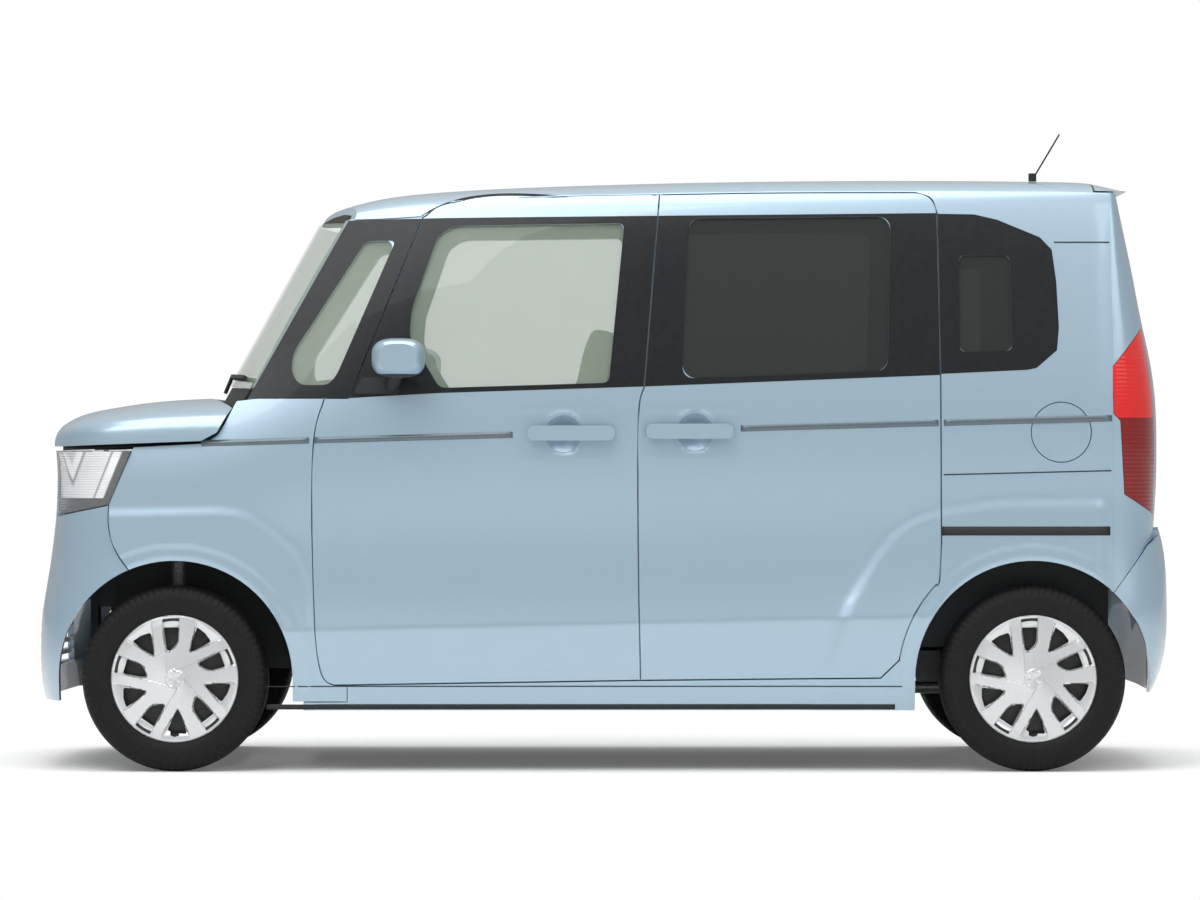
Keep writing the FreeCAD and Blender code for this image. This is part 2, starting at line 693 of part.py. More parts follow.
def door_shell(outline, gap):
    """Hollow-edged door: a leaf over the whole outline, an inner box set in by the
    flange, deep below the belt and slim round the window."""
    shell = panel(outline, DOOR_DEPTH, gap)
    rim = across(grown(outline, gap)).cut(across(grown(outline, -FLANGE - gap)))
    return shell.cut([rim.common(core(SKIN)), above_belt().common(core(SASH_DEPTH))])


# Body panels


def roof_seam():
    return spots(ROOF_SEAM_SHARES)


def side_outline():
    foot, tail, seam = spots(SIDE_FOOT_SHARES), spots(SIDE_TAIL_SHARES), roof_seam()
    pillar = spots([PILLAR_FOOT_SHARE])[0]
    front = [(foot[0][0], pillar[1]), (pillar[0] - SCREEN_BOW, pillar[1]),
             (seam[0][0] - SCREEN_BOW, seam[0][1])]
    return side_polygon(foot + [(foot[1][0], tail[0][1])] + tail
                        + [(along(1.95), seam[-1][1])] + seam[::-1] + front[::-1])


def screen_point(rise, part):
    """Point of the windscreen: rise goes from foot to top, part from side to side."""
    foot, top = spots([SCREEN_FOOT_SHARES])[0], spots([SCREEN_TOP_SHARES])[0]
    x = foot[0] + (top[0] - foot[0]) * rise
    z = foot[1] + (top[1] - foot[1]) * rise
    wide = half_width(x + SCREEN_BOW, z - SCREEN_DROP) - SEAM
    return Vector(x + SCREEN_BOW * part ** 2, wide * part, z - SCREEN_DROP * part ** 2)


def screen_normal():
    foot, top = screen_point(0, 0), screen_point(1, 0)
    slope = top - foot
    return Vector(slope.z, 0, -slope.x).normalize()


def screen_surface(low, high, reach):
    return smooth_surface(screen_point, steps(low, high, 5), steps(-reach, reach, 9))


def windscreen():
    return positive(screen_surface(0, 1, 1).toShape().extrude(screen_normal() * SCREEN_GLASS))


def screen_tool():
    """The space in front of the windscreen's inner face."""
    face = screen_surface(-0.3, 1.12, 1.16).toShape()
    face.translate(screen_normal() * (SCREEN_GLASS + SEAM / 2))
    return positive(face.extrude(screen_normal() * -OVERRUN))


def gate_seam(gap):
    """Space of the tailgate, seen from behind, with its seam moved out by a gap."""
    side = [(HALF_WIDTH * wide + gap, up(high)) for high, wide in GATE_SEAM_SHARES]
    side[0] = (side[0][0], side[0][1] - gap)
    side[-1] = (side[-1][0], ROOF_HEIGHT)
    ring = side + [(-y, z) for y, z in side[::-1]]
    vectors = [Vector(along(1.3), y, z) for y, z in ring]
    return Part.Face(Part.makePolygon(vectors + vectors[:1])).extrude(Vector(REAR_OVERHANG, 0, 0))


def body_corner():
    """The rear corner between the side skin, the tailgate and the rear bumper."""
    region = tail_region(GATE_TAIL_SHARES, CORNER_FOOT_SHARE, GATE_TOP_SHARE)
    left = block((along(1.3), along(2.1)), (-WIDTH, 0), (0, ROOF_HEIGHT))
    region = region.common(left).common(across(side_outline()))
    below = block((along(1.3), along(2.1)), (-BUMPER_STEP_HALF_WIDTH - DOOR_GAP, WIDTH), (0, up(0.45)))
    region = biggest(region.cut(gate_seam(DOOR_GAP)).cut(below))
    region = biggest(region.cut(tail_core(GATE_TAIL_SHARES, CORNER_FOOT_SHARE, GATE_TOP_SHARE, WALL)))
    lamp = across(grown(side_polygon(spots(TAIL_LAMP_SHARES)), SEAM / 2))
    pocket = lamp.cut(tail_core(GATE_TAIL_SHARES, CORNER_FOOT_SHARE, GATE_TOP_SHARE, LAMP_DEPTH / 2))
    return biggest(region.cut(pocket))


def opening(outline, gap):
    """What a door needs out of the body side: its leaf, and inside a flange its box."""
    leaf = across(grown(outline, gap)).cut(core(SKIN + RUNNING_GAP))
    return [leaf, across(grown(outline, gap - FLANGE))]


def rear_pane_outline():
    return rounded(spots(REAR_PANE_SHARES), PANEL, in_side)


def body_side():
    outline = side_outline()
    side = SKIN_REGION.common(across(outline)).cut(core(WALL))
    fender = across(grown(fender_outline(), SEAM)).cut(core(PANEL + SEAT_GAP))
    tools = [arch_cut(REAR_AXLE_X), fender, across(rear_pane_outline()),
             across(rounded(spots(QUARTER_PANE_SHARES), PANEL, in_side)), screen_tool()]
    tools += opening(door_outline(), DOOR_GAP / 2) + opening(slider_outline(), SLIDER_GAP / 2)
    front = block((along(-0.5), along(0.1429)), (-WIDTH, 0), (0, up(0.64)))
    side = biggest(cut(side, front, *tools))
    return biggest(side.fuse(body_corner().cut(across(rear_pane_outline()))))


def roof_point(x, angle):
    base = arch_base_z(x)
    wide, high = half_width(x, base), max(roof_crown(x) - base, SKIN / 3)
    return arch_point(x, base, wide, high, ROOF_POWER, ARCH_LEAN_SHARE, angle)


def arch_point(x, base, wide, high, power, lean, angle):
    turn = math.radians(angle)
    size = (abs(math.cos(turn)) ** power + abs(math.sin(turn)) ** power) ** (-1 / power)
    rise = high * size * abs(math.sin(turn))
    return Vector(x, (wide - lean * rise) * size * math.cos(turn), base + rise)


def roof_panel():
    surface = smooth_surface(roof_point, [along(s) for s in ROOF_STATIONS], ARCH_KNOTS)
    rings = []
    for station in (0.10, 0.154, 0.2, 0.3, 0.6, 1.0, 1.6):
        x = along(station)
        base, crown = arch_base_z(x), roof_crown(x)
        wide, high = half_width(x, base) - ROOF_WALL, max(crown - ROOF_WALL - base, SKIN / 9)
        rings.append([arch_point(x, base, wide, high, ROOF_POWER, ARCH_LEAN_SHARE, angle)
                      for angle in (0, 25, 45, 65, 90, 115, 135, 155, 180)])
        rings[-1] += [Vector(x, -wide, 0), Vector(x, wide, 0)]
    seam = [(x, z + SEAT_GAP) for x, z in roof_seam()]
    over = [(along(1.45), ROOF_HEIGHT + PANEL), (along(0.1), ROOF_HEIGHT + PANEL),
            (along(0.1), seam[0][1])]
    above = across(side_polygon(seam + over), (-WIDTH, WIDTH))
    doors = across(grown(door_outline(), DOOR_GAP), (-WIDTH, WIDTH))
    return biggest(capped(surface).cut(faceted(rings)).common(above).cut(screen_tool()).cut(doors))


def fender():
    outline = grown(fender_outline(), -SEAM / 2)
    shell = SKIN_REGION.common(across(outline)).cut([core(PANEL), arch_cut(FRONT_AXLE_X)])
    return biggest(shell)


def bonnet_rear_tool(gap):
    """Space behind the bonnet's curved rear edge."""
    points = [bonnet_rear(part * HALF_WIDTH, gap) for part in steps(-1.0, 1.0, 13)]
    points += [Vector(along(0.3), HALF_WIDTH, 0), Vector(along(0.3), -HALF_WIDTH, 0)]
    return Part.Face(Part.makePolygon(points + points[:1])).extrude(Vector(0, 0, ROOF_HEIGHT))


def bonnet_rear(y, gap=0.0):
    return Vector(along(0.0248) + gap + SCREEN_BOW * (y / up(SCREEN_FOOT_SHARES[1])) ** 2 * 3.0, y, 0)


def bonnet_base_z(x):
    (first, low), (last, high) = spots(BONNET_BASE_SHARES)
    return low + (high - low) * (x - first) / (last - first)


def bonnet_point(x, angle, depth=0.0):
    base = bonnet_base_z(x)
    crown = up(curve([(along(s), h) for s, h in BONNET_CROWN_SHARES], x))
    high = max(crown - base - depth, (crown - base) / 3)
    return arch_point(x, base, half_width(x, base) - depth, high, BONNET_POWER, 0.0, angle)


def bonnet():
    knots = [0, 18, 32, 50, 90, 130, 148, 162, 180]
    surface = smooth_surface(bonnet_point, [along(s) for s in BONNET_STATIONS], knots)
    rings = []
    for station in (-0.85, -0.78, -0.6, -0.3, 0.09):
        ring = [bonnet_point(along(station), angle, BONNET_WALL)
                for angle in (0, 20, 45, 70, 90, 110, 135, 160, 180)]
        rings.append(ring + [Vector(ring[-1].x, ring[-1].y, 0), Vector(ring[0].x, ring[0].y, 0)])
    seam = [(x, z + DOOR_GAP) for x, z in spots(FENDER_TOP_SHARES)]
    seam = [(along(-1.05), seam[0][1])] + seam
    over = [(seam[-1][0], ROOF_HEIGHT), (seam[0][0], ROOF_HEIGHT)]
    above = across(side_polygon(seam + over), (-WIDTH, WIDTH))
    return biggest(capped(surface).cut([faceted(rings), bonnet_rear_tool(0.0)]).common(above))


def nose_panel(low, high, depth):
    return nose_region(low, high).cut(nose_core(low, high, depth))


def lamp_tool(gap):
    outline = grown(side_polygon(spots(LAMP_SHARES)), gap)
    sides = across(outline, (-WIDTH, -LAMP_INNER_Y + gap))
    return sides.fuse(mirrored(sides))


def front_bumper():
    seam = spots(BUMPER_SEAM_SHARES)
    seam = [(x - SEAM / 2, z) for x, z in seam]
    behind = across(side_polygon([(seam[0][0], 0)] + seam + [(seam[-1][0], ROOF_HEIGHT),
                                 (FRONT_AXLE_X, ROOF_HEIGHT), (FRONT_AXLE_X, 0)]), (-WIDTH, WIDTH))
    arch = arch_cut(FRONT_AXLE_X)
    shell = nose_panel(SILL_FOOT_SHARE, BUMPER_TOP_SHARE, BUMPER_WALL)
    low, high = up(INTAKE_SHARES[0]), up(INTAKE_SHARES[1])
    pitch = (high - low) / (INTAKE_BARS + 1)
    slots = []
    for item in range(INTAKE_BARS + 1):
        start = low + item * pitch
        slots.append(block((along(-1.1), along(-0.8)), (-INTAKE_HALF_WIDTH, INTAKE_HALF_WIDTH),
                           (start, start + pitch - BAR_HEIGHT)))
    for side in (-1, 1):
        y = side * PLATE_HOLE_SPACING / 2
        slots.append(rod(PLATE_HOLE_RADIUS, (along(-1.1), y, up(PLATE_SHARE)),
                         (along(-0.8), y, up(PLATE_SHARE))))
    fenders = across(grown(fender_outline(), SEAM / 2), (-WIDTH, WIDTH))
    return biggest(cut(shell, behind, fenders, arch, mirrored(arch), lamp_tool(SEAM), *slots))


def front_grille():
    low, high = BUMPER_TOP_SHARE + SEAT_GAP / ROOF_HEIGHT, BONNET_BASE_SHARES[0][1] - SEAM / ROOF_HEIGHT
    reach = LAMP_INNER_Y - SEAM
    shell = nose_panel(low, high, BUMPER_WALL * 2)
    shell = shell.common(block((along(-1.1), along(-0.7)), (-reach, reach), (0, ROOF_HEIGHT)))
    pitch = (up(high) - up(low) - BAR_HEIGHT) / INTAKE_BARS
    slots = []
    for item in range(INTAKE_BARS):
        start = up(low) + BAR_HEIGHT + item * pitch
        slots.append(block((along(-1.1), along(-0.7)), (BAR_HEIGHT - reach, reach - BAR_HEIGHT),
                           (start, start + pitch - BAR_HEIGHT)))
    return cut(shell, *slots)


def front_panel_x():
    return along(FRONT_PANEL_SHARE)


def headlamps():
    shell = nose_panel(0.415, 0.5355, LAMP_HOUSING).common(lamp_tool(0.0))
    back = block((front_panel_x() - SEAT_GAP, along(0)), (-LAMP_PANEL_Y - SEAM, LAMP_PANEL_Y + SEAM),
                 (0, ROOF_HEIGHT))
    return shell.cut(back)


def cowl_panel():
    """Strip between the bonnet's rear edge and the foot of the windscreen."""
    rings = []
    for part in steps(-0.9, 0.9, 9):
        screen = screen_point(0, part)
        front = bonnet_rear(screen.y, DOOR_GAP)
        top = up(0.619) - SCREEN_DROP * part ** 2 * 2
        ring = [(front.x, top), (screen.x + SEAM, screen.z - SEAT_GAP),
                (screen.x + COWL_WALL, screen.z - COWL_WALL), (front.x, top - COWL_WALL)]
        rings.append([Vector(x, screen.y, z) for x, z in ring])
    return faceted(rings).cut(screen_tool())


def pane(outline, near):
    """Flat-edged pane that follows the side skin at a depth."""
    moved = SKIN_REGION.copy()
    moved.translate(Vector(0, near, 0))
    inner = SKIN_REGION.copy()
    inner.translate(Vector(0, near + PANE, 0))
    return moved.common(across(outline)).cut(inner)


def side_windows():
    outlines = [rounded(spots(QUARTER_PANE_SHARES), PANEL, in_side),
                rounded(spots(SLIDER_GLASS_SHARES), PANEL * 2, in_side), rear_pane_outline()]
    panes = [biggest(pane(grown(outline, -SEAT_GAP / 3), PANE_DEPTH)) for outline in outlines]
    return Part.makeCompound(panes + [mirrored(item) for item in panes])


def belt_groove():
    """Dark step that runs along the side under the windows."""
    start, end = spots(BELT_CREASE_SHARES)
    half = BELT_CREASE_HEIGHT / 2
    strip = side_polygon([(start[0], start[1] - half), (end[0], end[1] - half),
                          (end[0], end[1] + half), (start[0], start[1] + half)])
    first, last = [along(share) for share in BELT_CREASE_BREAK_SHARES]
    handles = block((first, last), (-WIDTH - OVERRUN, 0), (start[1] - half, end[1] + half))
    return across(strip).cut([core(BELT_CREASE_DEPTH), handles])


def bowl(place):
    x, z = spots([place])[0]
    y = -half_width(x, z)
    ball = (BOWL_RADIUS ** 2 + BOWL_DEPTH ** 2) / (2 * BOWL_DEPTH)
    return Part.makeSphere(ball, Vector(x, y - ball + BOWL_DEPTH, z))


def grip(place):
    """Pull handle: a rounded bar on two feet in front of its bowl."""
    x, z = spots([place])[0]
    y = -half_width(x, z)
    half = HANDLE_LENGTH / 2
    high = HANDLE_HEIGHT / 2
    outline = rounded([(x - half, z - high), (x + half, z - high), (x + half, z + high),
                       (x - half, z + high)], high * 0.9, in_side)
    bar = across(outline, (y - HANDLE_STANDOFF - HANDLE_WALL, y - HANDLE_STANDOFF))
    feet = [block((x + side * half * FOOT_SHARE - high / 2, x + side * half * FOOT_SHARE + high / 2),
                  (y - HANDLE_STANDOFF, y + HANDLE_STANDOFF), (z - high / 2, z + high / 2))
            for side in (-1, 1)]
    skin = SKIN_REGION.copy()
    skin.translate(Vector(0, -SEAT_GAP, 0))
    return joined(bar, *feet).cut(skin)


def slider():
    outline = slider_outline()
    shell = door_shell(outline, SLIDER_GAP / 2)
    glass = across(rounded(spots(SLIDER_GLASS_SHARES), PANEL * 2, in_side))
    x, z = SLIDER_HANDLE_SHARE
    return biggest(cut(shell, glass, bowl((x + 0.006, z))))


def front_door():
    shell = door_shell(door_outline(), DOOR_GAP / 2)
    glass = across(rounded(spots(DOOR_GLASS_SHARES), PANEL, in_side))
    x, z = FRONT_HANDLE_SHARE
    return biggest(cut(shell, glass, bowl((x - 0.009, z))))


def rear_bumper():
    low, high = BUMPER_TAIL_SHARES[0][0], BUMPER_TAIL_SHARES[-1][0]
    shell = tail_region(BUMPER_TAIL_SHARES, low, high)
    shell = shell.cut(tail_core(BUMPER_TAIL_SHARES, low, high, BUMPER_WALL))
    tail = spots(SIDE_TAIL_SHARES)
    over = across(side_polygon([(x, z - SEAM) for x, z in tail] + [(along(2.2), tail[-1][1] - SEAM),
                               (along(2.2), ROOF_HEIGHT), (tail[0][0], ROOF_HEIGHT)]),
                  (-WIDTH, WIDTH))
    top = up(GATE_FOOT_SHARE) - DOOR_GAP
    middle = block((along(1.3), along(2.2)), (-BUMPER_STEP_HALF_WIDTH, BUMPER_STEP_HALF_WIDTH),
                   (up(0.37), top))
    shell = shell.cut(over.cut(middle))
    arch = arch_cut(REAR_AXLE_X)
    shell = biggest(shell.cut([arch, mirrored(arch)]))
    x = along(curve(BUMPER_TAIL_SHARES, 0.40)) - BUMPER_WALL
    for side in (-1, 1):
        y = side * BUMPER_STEP_HALF_WIDTH * 0.6
        shell = shell.fuse(block((x, x + SKIN), (y - SKIN, y + SKIN),
                                 (top - SKIN, up(GATE_FOOT_SHARE) - SEAT_GAP)))
    return shell


def tail_lamps():
    region = tail_region(GATE_TAIL_SHARES, CORNER_FOOT_SHARE, GATE_TOP_SHARE)
    outline = across(side_polygon(spots(TAIL_LAMP_SHARES)))
    inside = tail_core(GATE_TAIL_SHARES, CORNER_FOOT_SHARE, GATE_TOP_SHARE, LAMP_DEPTH / 2 - SEAT_GAP)
    return biggest(region.common(outline).cut([inside, gate_seam(DOOR_GAP)]))


def door_glass():
    outline = rounded(spots(DOOR_GLASS_SHARES), PANEL, in_side)
    return biggest(pane(grown(outline, -SEAT_GAP / 3), PANE_DEPTH))


def mirror():
    """Door mirror: a rounded housing on an arm from the foot of the window frame."""
    x, z = spots([MIRROR_SHARE])[0]
    wires = []
    for share, size in MIRROR_SECTION_SHARES:
        y = -MIRROR_INNER_Y - (MIRROR_OUTER_Y - MIRROR_INNER_Y) * share
        points = []
        for item in range(16):
            turn = 2 * math.pi * item / 16
            across_part = abs(math.cos(turn)) ** 0.7 * math.copysign(1, math.cos(turn))
            up_part = abs(math.sin(turn)) ** 0.7 * math.copysign(1, math.sin(turn))
            points.append(Vector(x + MIRROR_HALF_LENGTH * size * across_part, y,
                                 z + MIRROR_HALF_HEIGHT * size * up_part))
        loop = Part.BSplineCurve()
        loop.interpolate(points, PeriodicFlag=True)
        wires.append(Part.Wire(loop.toShape()))
    housing = Part.makeLoft(wires, True, False)
    outline = rounded(spots(MIRROR_BASE_SHARES), SKIN / 2, in_side)
    plate = SKIN_REGION.copy()
    plate.translate(Vector(0, -MIRROR_PLATE, 0))
    plate = plate.common(across(outline)).cut(SKIN_REGION)
    foot_x, foot_z = (plate.BoundBox.XMin + plate.BoundBox.XMax) / 2, up(0.642)
    arm = rod(MIRROR_ARM_RADIUS, (x - MIRROR_ARM_RADIUS, -half_width(x, z), foot_z),
              (x, -MIRROR_INNER_Y - MIRROR_ARM_RADIUS, z - MIRROR_HALF_HEIGHT / 3))
    return biggest(joined(housing, arm.cut(SKIN_REGION), plate))


def tailgate():
    """Tailgate shell, with a neck that rises to the underside of the spoiler."""
    table = GATE_TAIL_SHARES
    region = tail_region(table, GATE_FOOT_SHARE, GATE_TOP_SHARE).common(gate_seam(0.0))
    skin = region.cut(tail_core(table, GATE_FOOT_SHARE, GATE_TOP_SHARE, GATE_WALL))
    top = up(GATE_TOP_SHARE)
    start = along(TAIL_START_SHARE) + SEAT_GAP
    neck = block((start, start + NECK_LENGTH), (-NECK_HALF_WIDTH, NECK_HALF_WIDTH),
                 (top - NECK_LENGTH, ROOF_HEIGHT))
    under = spoiler_roof()
    under.translate(Vector(0, 0, -SEAM))
    skin = joined(skin, neck.common(under))
    return biggest(skin.cut(gate_glass_tool(0.0)))


def plate_holes(shape):
    """Tailgate with the two bolt holes of the number plate, cut one after the other."""
    for side in (-1, 1):
        y, z = side * PLATE_HOLE_SPACING / 2, up(REAR_PLATE_SHARE)
        face_x = tail_x(y, z)
        hole = rod(PLATE_HOLE_RADIUS, (face_x - GATE_WALL * 2, y, z), (face_x + GATE_WALL, y, z))
        shape = biggest(shape.cut(hole))
    return shape


def gate_glass_tool(gap):
    (low, low_wide), (high, high_wide) = GATE_GLASS_SHARES
    points = [(-HALF_WIDTH * low_wide, up(low)), (HALF_WIDTH * low_wide, up(low)),
              (HALF_WIDTH * high_wide, up(high)), (-HALF_WIDTH * high_wide, up(high))]
    face = rounded(points, PANEL * 2, lambda point: Vector(along(1.4), point[0], point[1]))
    if gap:
        face = grown(face, -gap)
    return face.extrude(Vector(REAR_OVERHANG, 0, 0))


def tailgate_glass():
    region = tail_region(GATE_TAIL_SHARES, GATE_FOOT_SHARE, 0.9655)
    outer, inner = region.copy(), region.copy()
    outer.translate(Vector(-PANE_DEPTH, 0, 0))
    inner.translate(Vector(-PANE_DEPTH - PANE, 0, 0))
    return biggest(outer.cut(inner).common(gate_glass_tool(SEAT_GAP / 3)))


def spoiler_roof():
    """Solid under the rear end of the roof's surface."""
    return capped(smooth_surface(roof_point, [along(s) for s in (1.40, 1.5, 1.6, 1.68)], ARCH_KNOTS))


def spoiler():
    """Rear edge of the roof, which rises with the tailgate."""
    rings = []
    for station in (1.36, 1.5, 1.72):
        x = along(station)
        base, crown = arch_base_z(x), roof_crown(x)
        wide, high = half_width(x, base) - ROOF_WALL, crown - ROOF_WALL - base
        rings.append([arch_point(x, base, wide, high, ROOF_POWER, ARCH_LEAN_SHARE, angle)
                      for angle in (0, 25, 45, 65, 90, 115, 135, 155, 180)])
        rings[-1] += [Vector(x, -wide, 0), Vector(x, wide, 0)]
    front = along(SPOILER_SEAM_SHARE) + DOOR_GAP
    keep = block((front, along(1.72)), (-WIDTH, WIDTH), (up(GATE_TOP_SHARE) + DOOR_GAP, ROOF_HEIGHT))
    return biggest(spoiler_roof().cut(faceted(rings)).common(keep))


def fuel_lid_face(radius):
    x, z = spots([FUEL_LID_SHARE])[0]
    return Part.Face(Part.Wire(Part.makeCircle(radius, Vector(x, 0, z), Vector(0, 1, 0))))


def fuel_lid():
    lid = SKIN_REGION.common(across(fuel_lid_face(FUEL_LID_RADIUS))).cut(core(FUEL_LID_WALL))
    return biggest(lid)


def fuel_pocket():
    """The well behind the lid, with its filler cap left standing."""
    x, z = spots([FUEL_LID_SHARE])[0]
    y = -half_width(x, z)
    well = across(fuel_lid_face(FUEL_LID_RADIUS + FUEL_LID_GAP), (y - OVERRUN, y + FUEL_POCKET_DEPTH))
    floor_y = y + FUEL_POCKET_DEPTH
    cap = rod(FUEL_CAP_RADIUS, (x, floor_y - FUEL_CAP_HEIGHT, z), (x, floor_y, z))
    rest_z = z + (FUEL_CAP_RADIUS + FUEL_LID_RADIUS) / 2
    rest = rod(LID_REST_RADIUS, (x, y, rest_z), (x, floor_y, rest_z)).common(core(FUEL_LID_WALL + SEAT_GAP))
    return well.cut([cap, rest])


# Floor and inner structure


def inner_body():
    """Floor, firewall, sills and load floor, in one shell."""
    floor_low, floor_high = up(FLOOR_SHARE) - FLOOR_WALL, up(FLOOR_SHARE)
    firewall = along(FIREWALL_X_SHARE)
    rear = along(FLOOR_REAR_SHARE)
    load_low, load_high = up(LOAD_FLOOR_SHARE) - FLOOR_WALL, up(LOAD_FLOOR_SHARE)
    inside = core(DOOR_DEPTH + RUNNING_GAP)
    cabin = joined(
        block((firewall, rear), (-WIDTH, WIDTH), (floor_low, floor_high)),
        block((rear - FLOOR_WALL, rear), (-WIDTH, WIDTH), (floor_low, load_high)),
        block((rear - FLOOR_WALL, along(TAIL_START_SHARE)), (-WIDTH, WIDTH), (load_low, load_high)),
        block((firewall - FLOOR_WALL, firewall), (-WIDTH, WIDTH), (floor_low, up(FIREWALL_TOP_SHARE))))
    cabin = cabin.common(inside)
    sill = block((firewall, rear - FLOOR_WALL), (-WIDTH, WIDTH), (up(SILL_FOOT_SHARE), floor_high))
    web = sill.common(inside).cut(core(DOOR_DEPTH + RUNNING_GAP + FLOOR_WALL))
    rocker = block((firewall, rear - FLOOR_WALL), (-WIDTH, WIDTH),
                   (up(SILL_FOOT_SHARE), up(DOOR_FRONT_SHARES[0][1]) - DOOR_GAP * 3))
    rocker = rocker.common(core(WALL + SEAT_GAP)).cut(core(DOOR_DEPTH + RUNNING_GAP + FLOOR_WALL))
    ledge = block((rear, along(TAIL_START_SHARE)), (-WIDTH, WIDTH), (load_low, load_high))
    door_room = across(grown(slider_outline(), RUNNING_GAP), (-WIDTH, WIDTH))
    ledge = ledge.common(core(WALL + SEAT_GAP)).cut(door_room)
    back = block((along(TAIL_START_SHARE), along(2)), (-TAIL_FLOOR_Y, TAIL_FLOOR_Y), (load_low, load_high))
    low, high = BUMPER_TAIL_SHARES[0][0], BUMPER_TAIL_SHARES[-1][0]
    back = back.common(tail_core(BUMPER_TAIL_SHARES, low, high, BUMPER_WALL + SEAT_GAP))
    body = cabin.fuse([web, rocker, ledge, back])
    tools = []
    for side in (-1, 1):
        tools += housing_seat(FRONT_AXLE_X, side, TUB_INNER_Y, floor_low)
        tools += housing_seat(REAR_AXLE_X, side, REAR_TUB_INNER_Y, TYRE_RADIUS + HUB_RADIUS * 2)
    return biggest(body.cut(tools))


def front_frame():
    """Radiator panel with two rails that run back to the firewall, and the bonnet's rest."""
    panel_x, wall_x = front_panel_x(), along(FIREWALL_X_SHARE) - FLOOR_WALL - SEAT_GAP
    front = block((panel_x, panel_x + FLOOR_WALL), (-LAMP_PANEL_Y, LAMP_PANEL_Y),
                  (up(FRONT_PANEL_FOOT_SHARE), up(FRONT_PANEL_TOP_SHARE)))
    low, high = RADIATOR_SHARES
    window = block((panel_x - FLOOR_WALL, panel_x + FLOOR_WALL * 2),
                   (-RADIATOR_HALF_WIDTH, RADIATOR_HALF_WIDTH), (up(low), up(high)))
    middle_x = panel_x + FLOOR_WALL / 2
    striker = rod(STRIKER_RADIUS, (middle_x, 0, up(RAIL_SHARES[1])), (middle_x, 0, ROOF_HEIGHT))
    inner_bonnet = bonnet()
    inner_bonnet.translate(Vector(0, 0, -SEAT_GAP))
    striker = min(striker.cut(inner_bonnet).Solids, key=lambda solid: solid.BoundBox.ZMin)
    striker = striker.common(block((panel_x, 0), (-WIDTH, WIDTH),
                                   (up(FRONT_PANEL_TOP_SHARE) - PANEL, ROOF_HEIGHT)))
    pieces = [striker]
    tools = [nose_shell(SEAT_GAP)]
    for side in (-1, 1):
        low_y, high_y = sorted(side * y for y in RAIL_HALF_WIDTHS)
        pieces.append(block((panel_x, wall_x), (low_y, high_y), (up(RAIL_SHARES[0]), up(RAIL_SHARES[1]))))
        tools += housing_seat(FRONT_AXLE_X, side, TUB_INNER_Y, up(FLOOR_SHARE) - FLOOR_WALL)
    return biggest(front.cut(window).fuse(pieces).cut(tools))


def nose_shell(gap):
    """What stands outside the inner face of the front bumper, and a gap behind that face."""
    nose = nose_region(SILL_FOOT_SHARE, BUMPER_TOP_SHARE)
    return nose.cut(nose_core(SILL_FOOT_SHARE, BUMPER_TOP_SHARE, BUMPER_WALL + gap))


def front_housing():
    """Left front wheel housing with the strut tower on its top."""
    y = -STRUT_TOP_Y
    drum = housing(FRONT_AXLE_X, TUB_INNER_Y, PANEL + SEAM, up(FLOOR_SHARE) - FLOOR_WALL)
    tower = rod(TOWER_RADIUS, (FRONT_AXLE_X, y, TYRE_RADIUS + ARCH_RADIUS * TOWER_FOOT_SHARE),
                (FRONT_AXLE_X, y, up(TOWER_SHARE) + FLOOR_WALL))
    well = rod(TOWER_RADIUS - TUB_WALL, (FRONT_AXLE_X, y, TYRE_RADIUS), (FRONT_AXLE_X, y, up(TOWER_SHARE)))
    tools = wheel_room(FRONT_AXLE_X, TUB_INNER_Y) + [well, nose_shell(SEAT_GAP * 3)]
    return biggest(drum.fuse(tower).cut(tools))


def rear_housing():
    """Left rear wheel housing."""
    drum = housing(REAR_AXLE_X, REAR_TUB_INNER_Y, WALL + SEAT_GAP, TYRE_RADIUS + HUB_RADIUS * 2)
    return biggest(drum.cut(wheel_room(REAR_AXLE_X, REAR_TUB_INNER_Y)))


def housing(axle_x, inner_y, depth, foot):
    """Round drum over the left wheel, from its inner side out to the body side."""
    outer = ARCH_RADIUS + TUB_WALL * 1.5
    drum = rod(outer, (axle_x, -inner_y, TYRE_RADIUS), (axle_x, -WIDTH, TYRE_RADIUS))
    over = block((axle_x - OVERRUN, axle_x + OVERRUN), (-WIDTH, WIDTH), (foot, ROOF_HEIGHT))
    return drum.common(over).common(core(depth))


def wheel_room(axle_x, inner_y):
    """Tools that hollow the left wheel housing."""
    inner = -inner_y - TUB_WALL
    return [rod(ARCH_RADIUS + TUB_WALL / 2, (axle_x, inner, TYRE_RADIUS), (axle_x, -WIDTH, TYRE_RADIUS)),
            block((axle_x - ARCH_RADIUS, axle_x + ARCH_RADIUS), (-WIDTH, inner), (0, TYRE_RADIUS))]


def housing_seat(axle_x, side, inner_y, foot):
    """Tools that clear the place of one wheel housing and of the wheel under it."""
    outer = ARCH_RADIUS + TUB_WALL * 1.5 + SEAT_GAP
    drum = rod(outer, (axle_x, side * (inner_y - SEAT_GAP), TYRE_RADIUS), (axle_x, side * WIDTH, TYRE_RADIUS))
    over = block((axle_x - OVERRUN, axle_x + OVERRUN), (-WIDTH, WIDTH), (foot - SEAT_GAP, ROOF_HEIGHT))
    inner, end = side * (inner_y + TUB_WALL), side * WIDTH
    return [drum.common(over),
            rod(ARCH_RADIUS + TUB_WALL / 2, (axle_x, inner, TYRE_RADIUS), (axle_x, end, TYRE_RADIUS)),
            block((axle_x - ARCH_RADIUS, axle_x + ARCH_RADIUS), sorted((inner, end)), (0, TYRE_RADIUS))]


# Interior


def softened(box, size):
    """Block with its upper edges bevelled."""
    top = box.BoundBox.ZMax
    return box.makeChamfer(size, [edge for edge in box.Edges
                                  if abs(edge.BoundBox.ZMin - top) < SEAT_GAP])


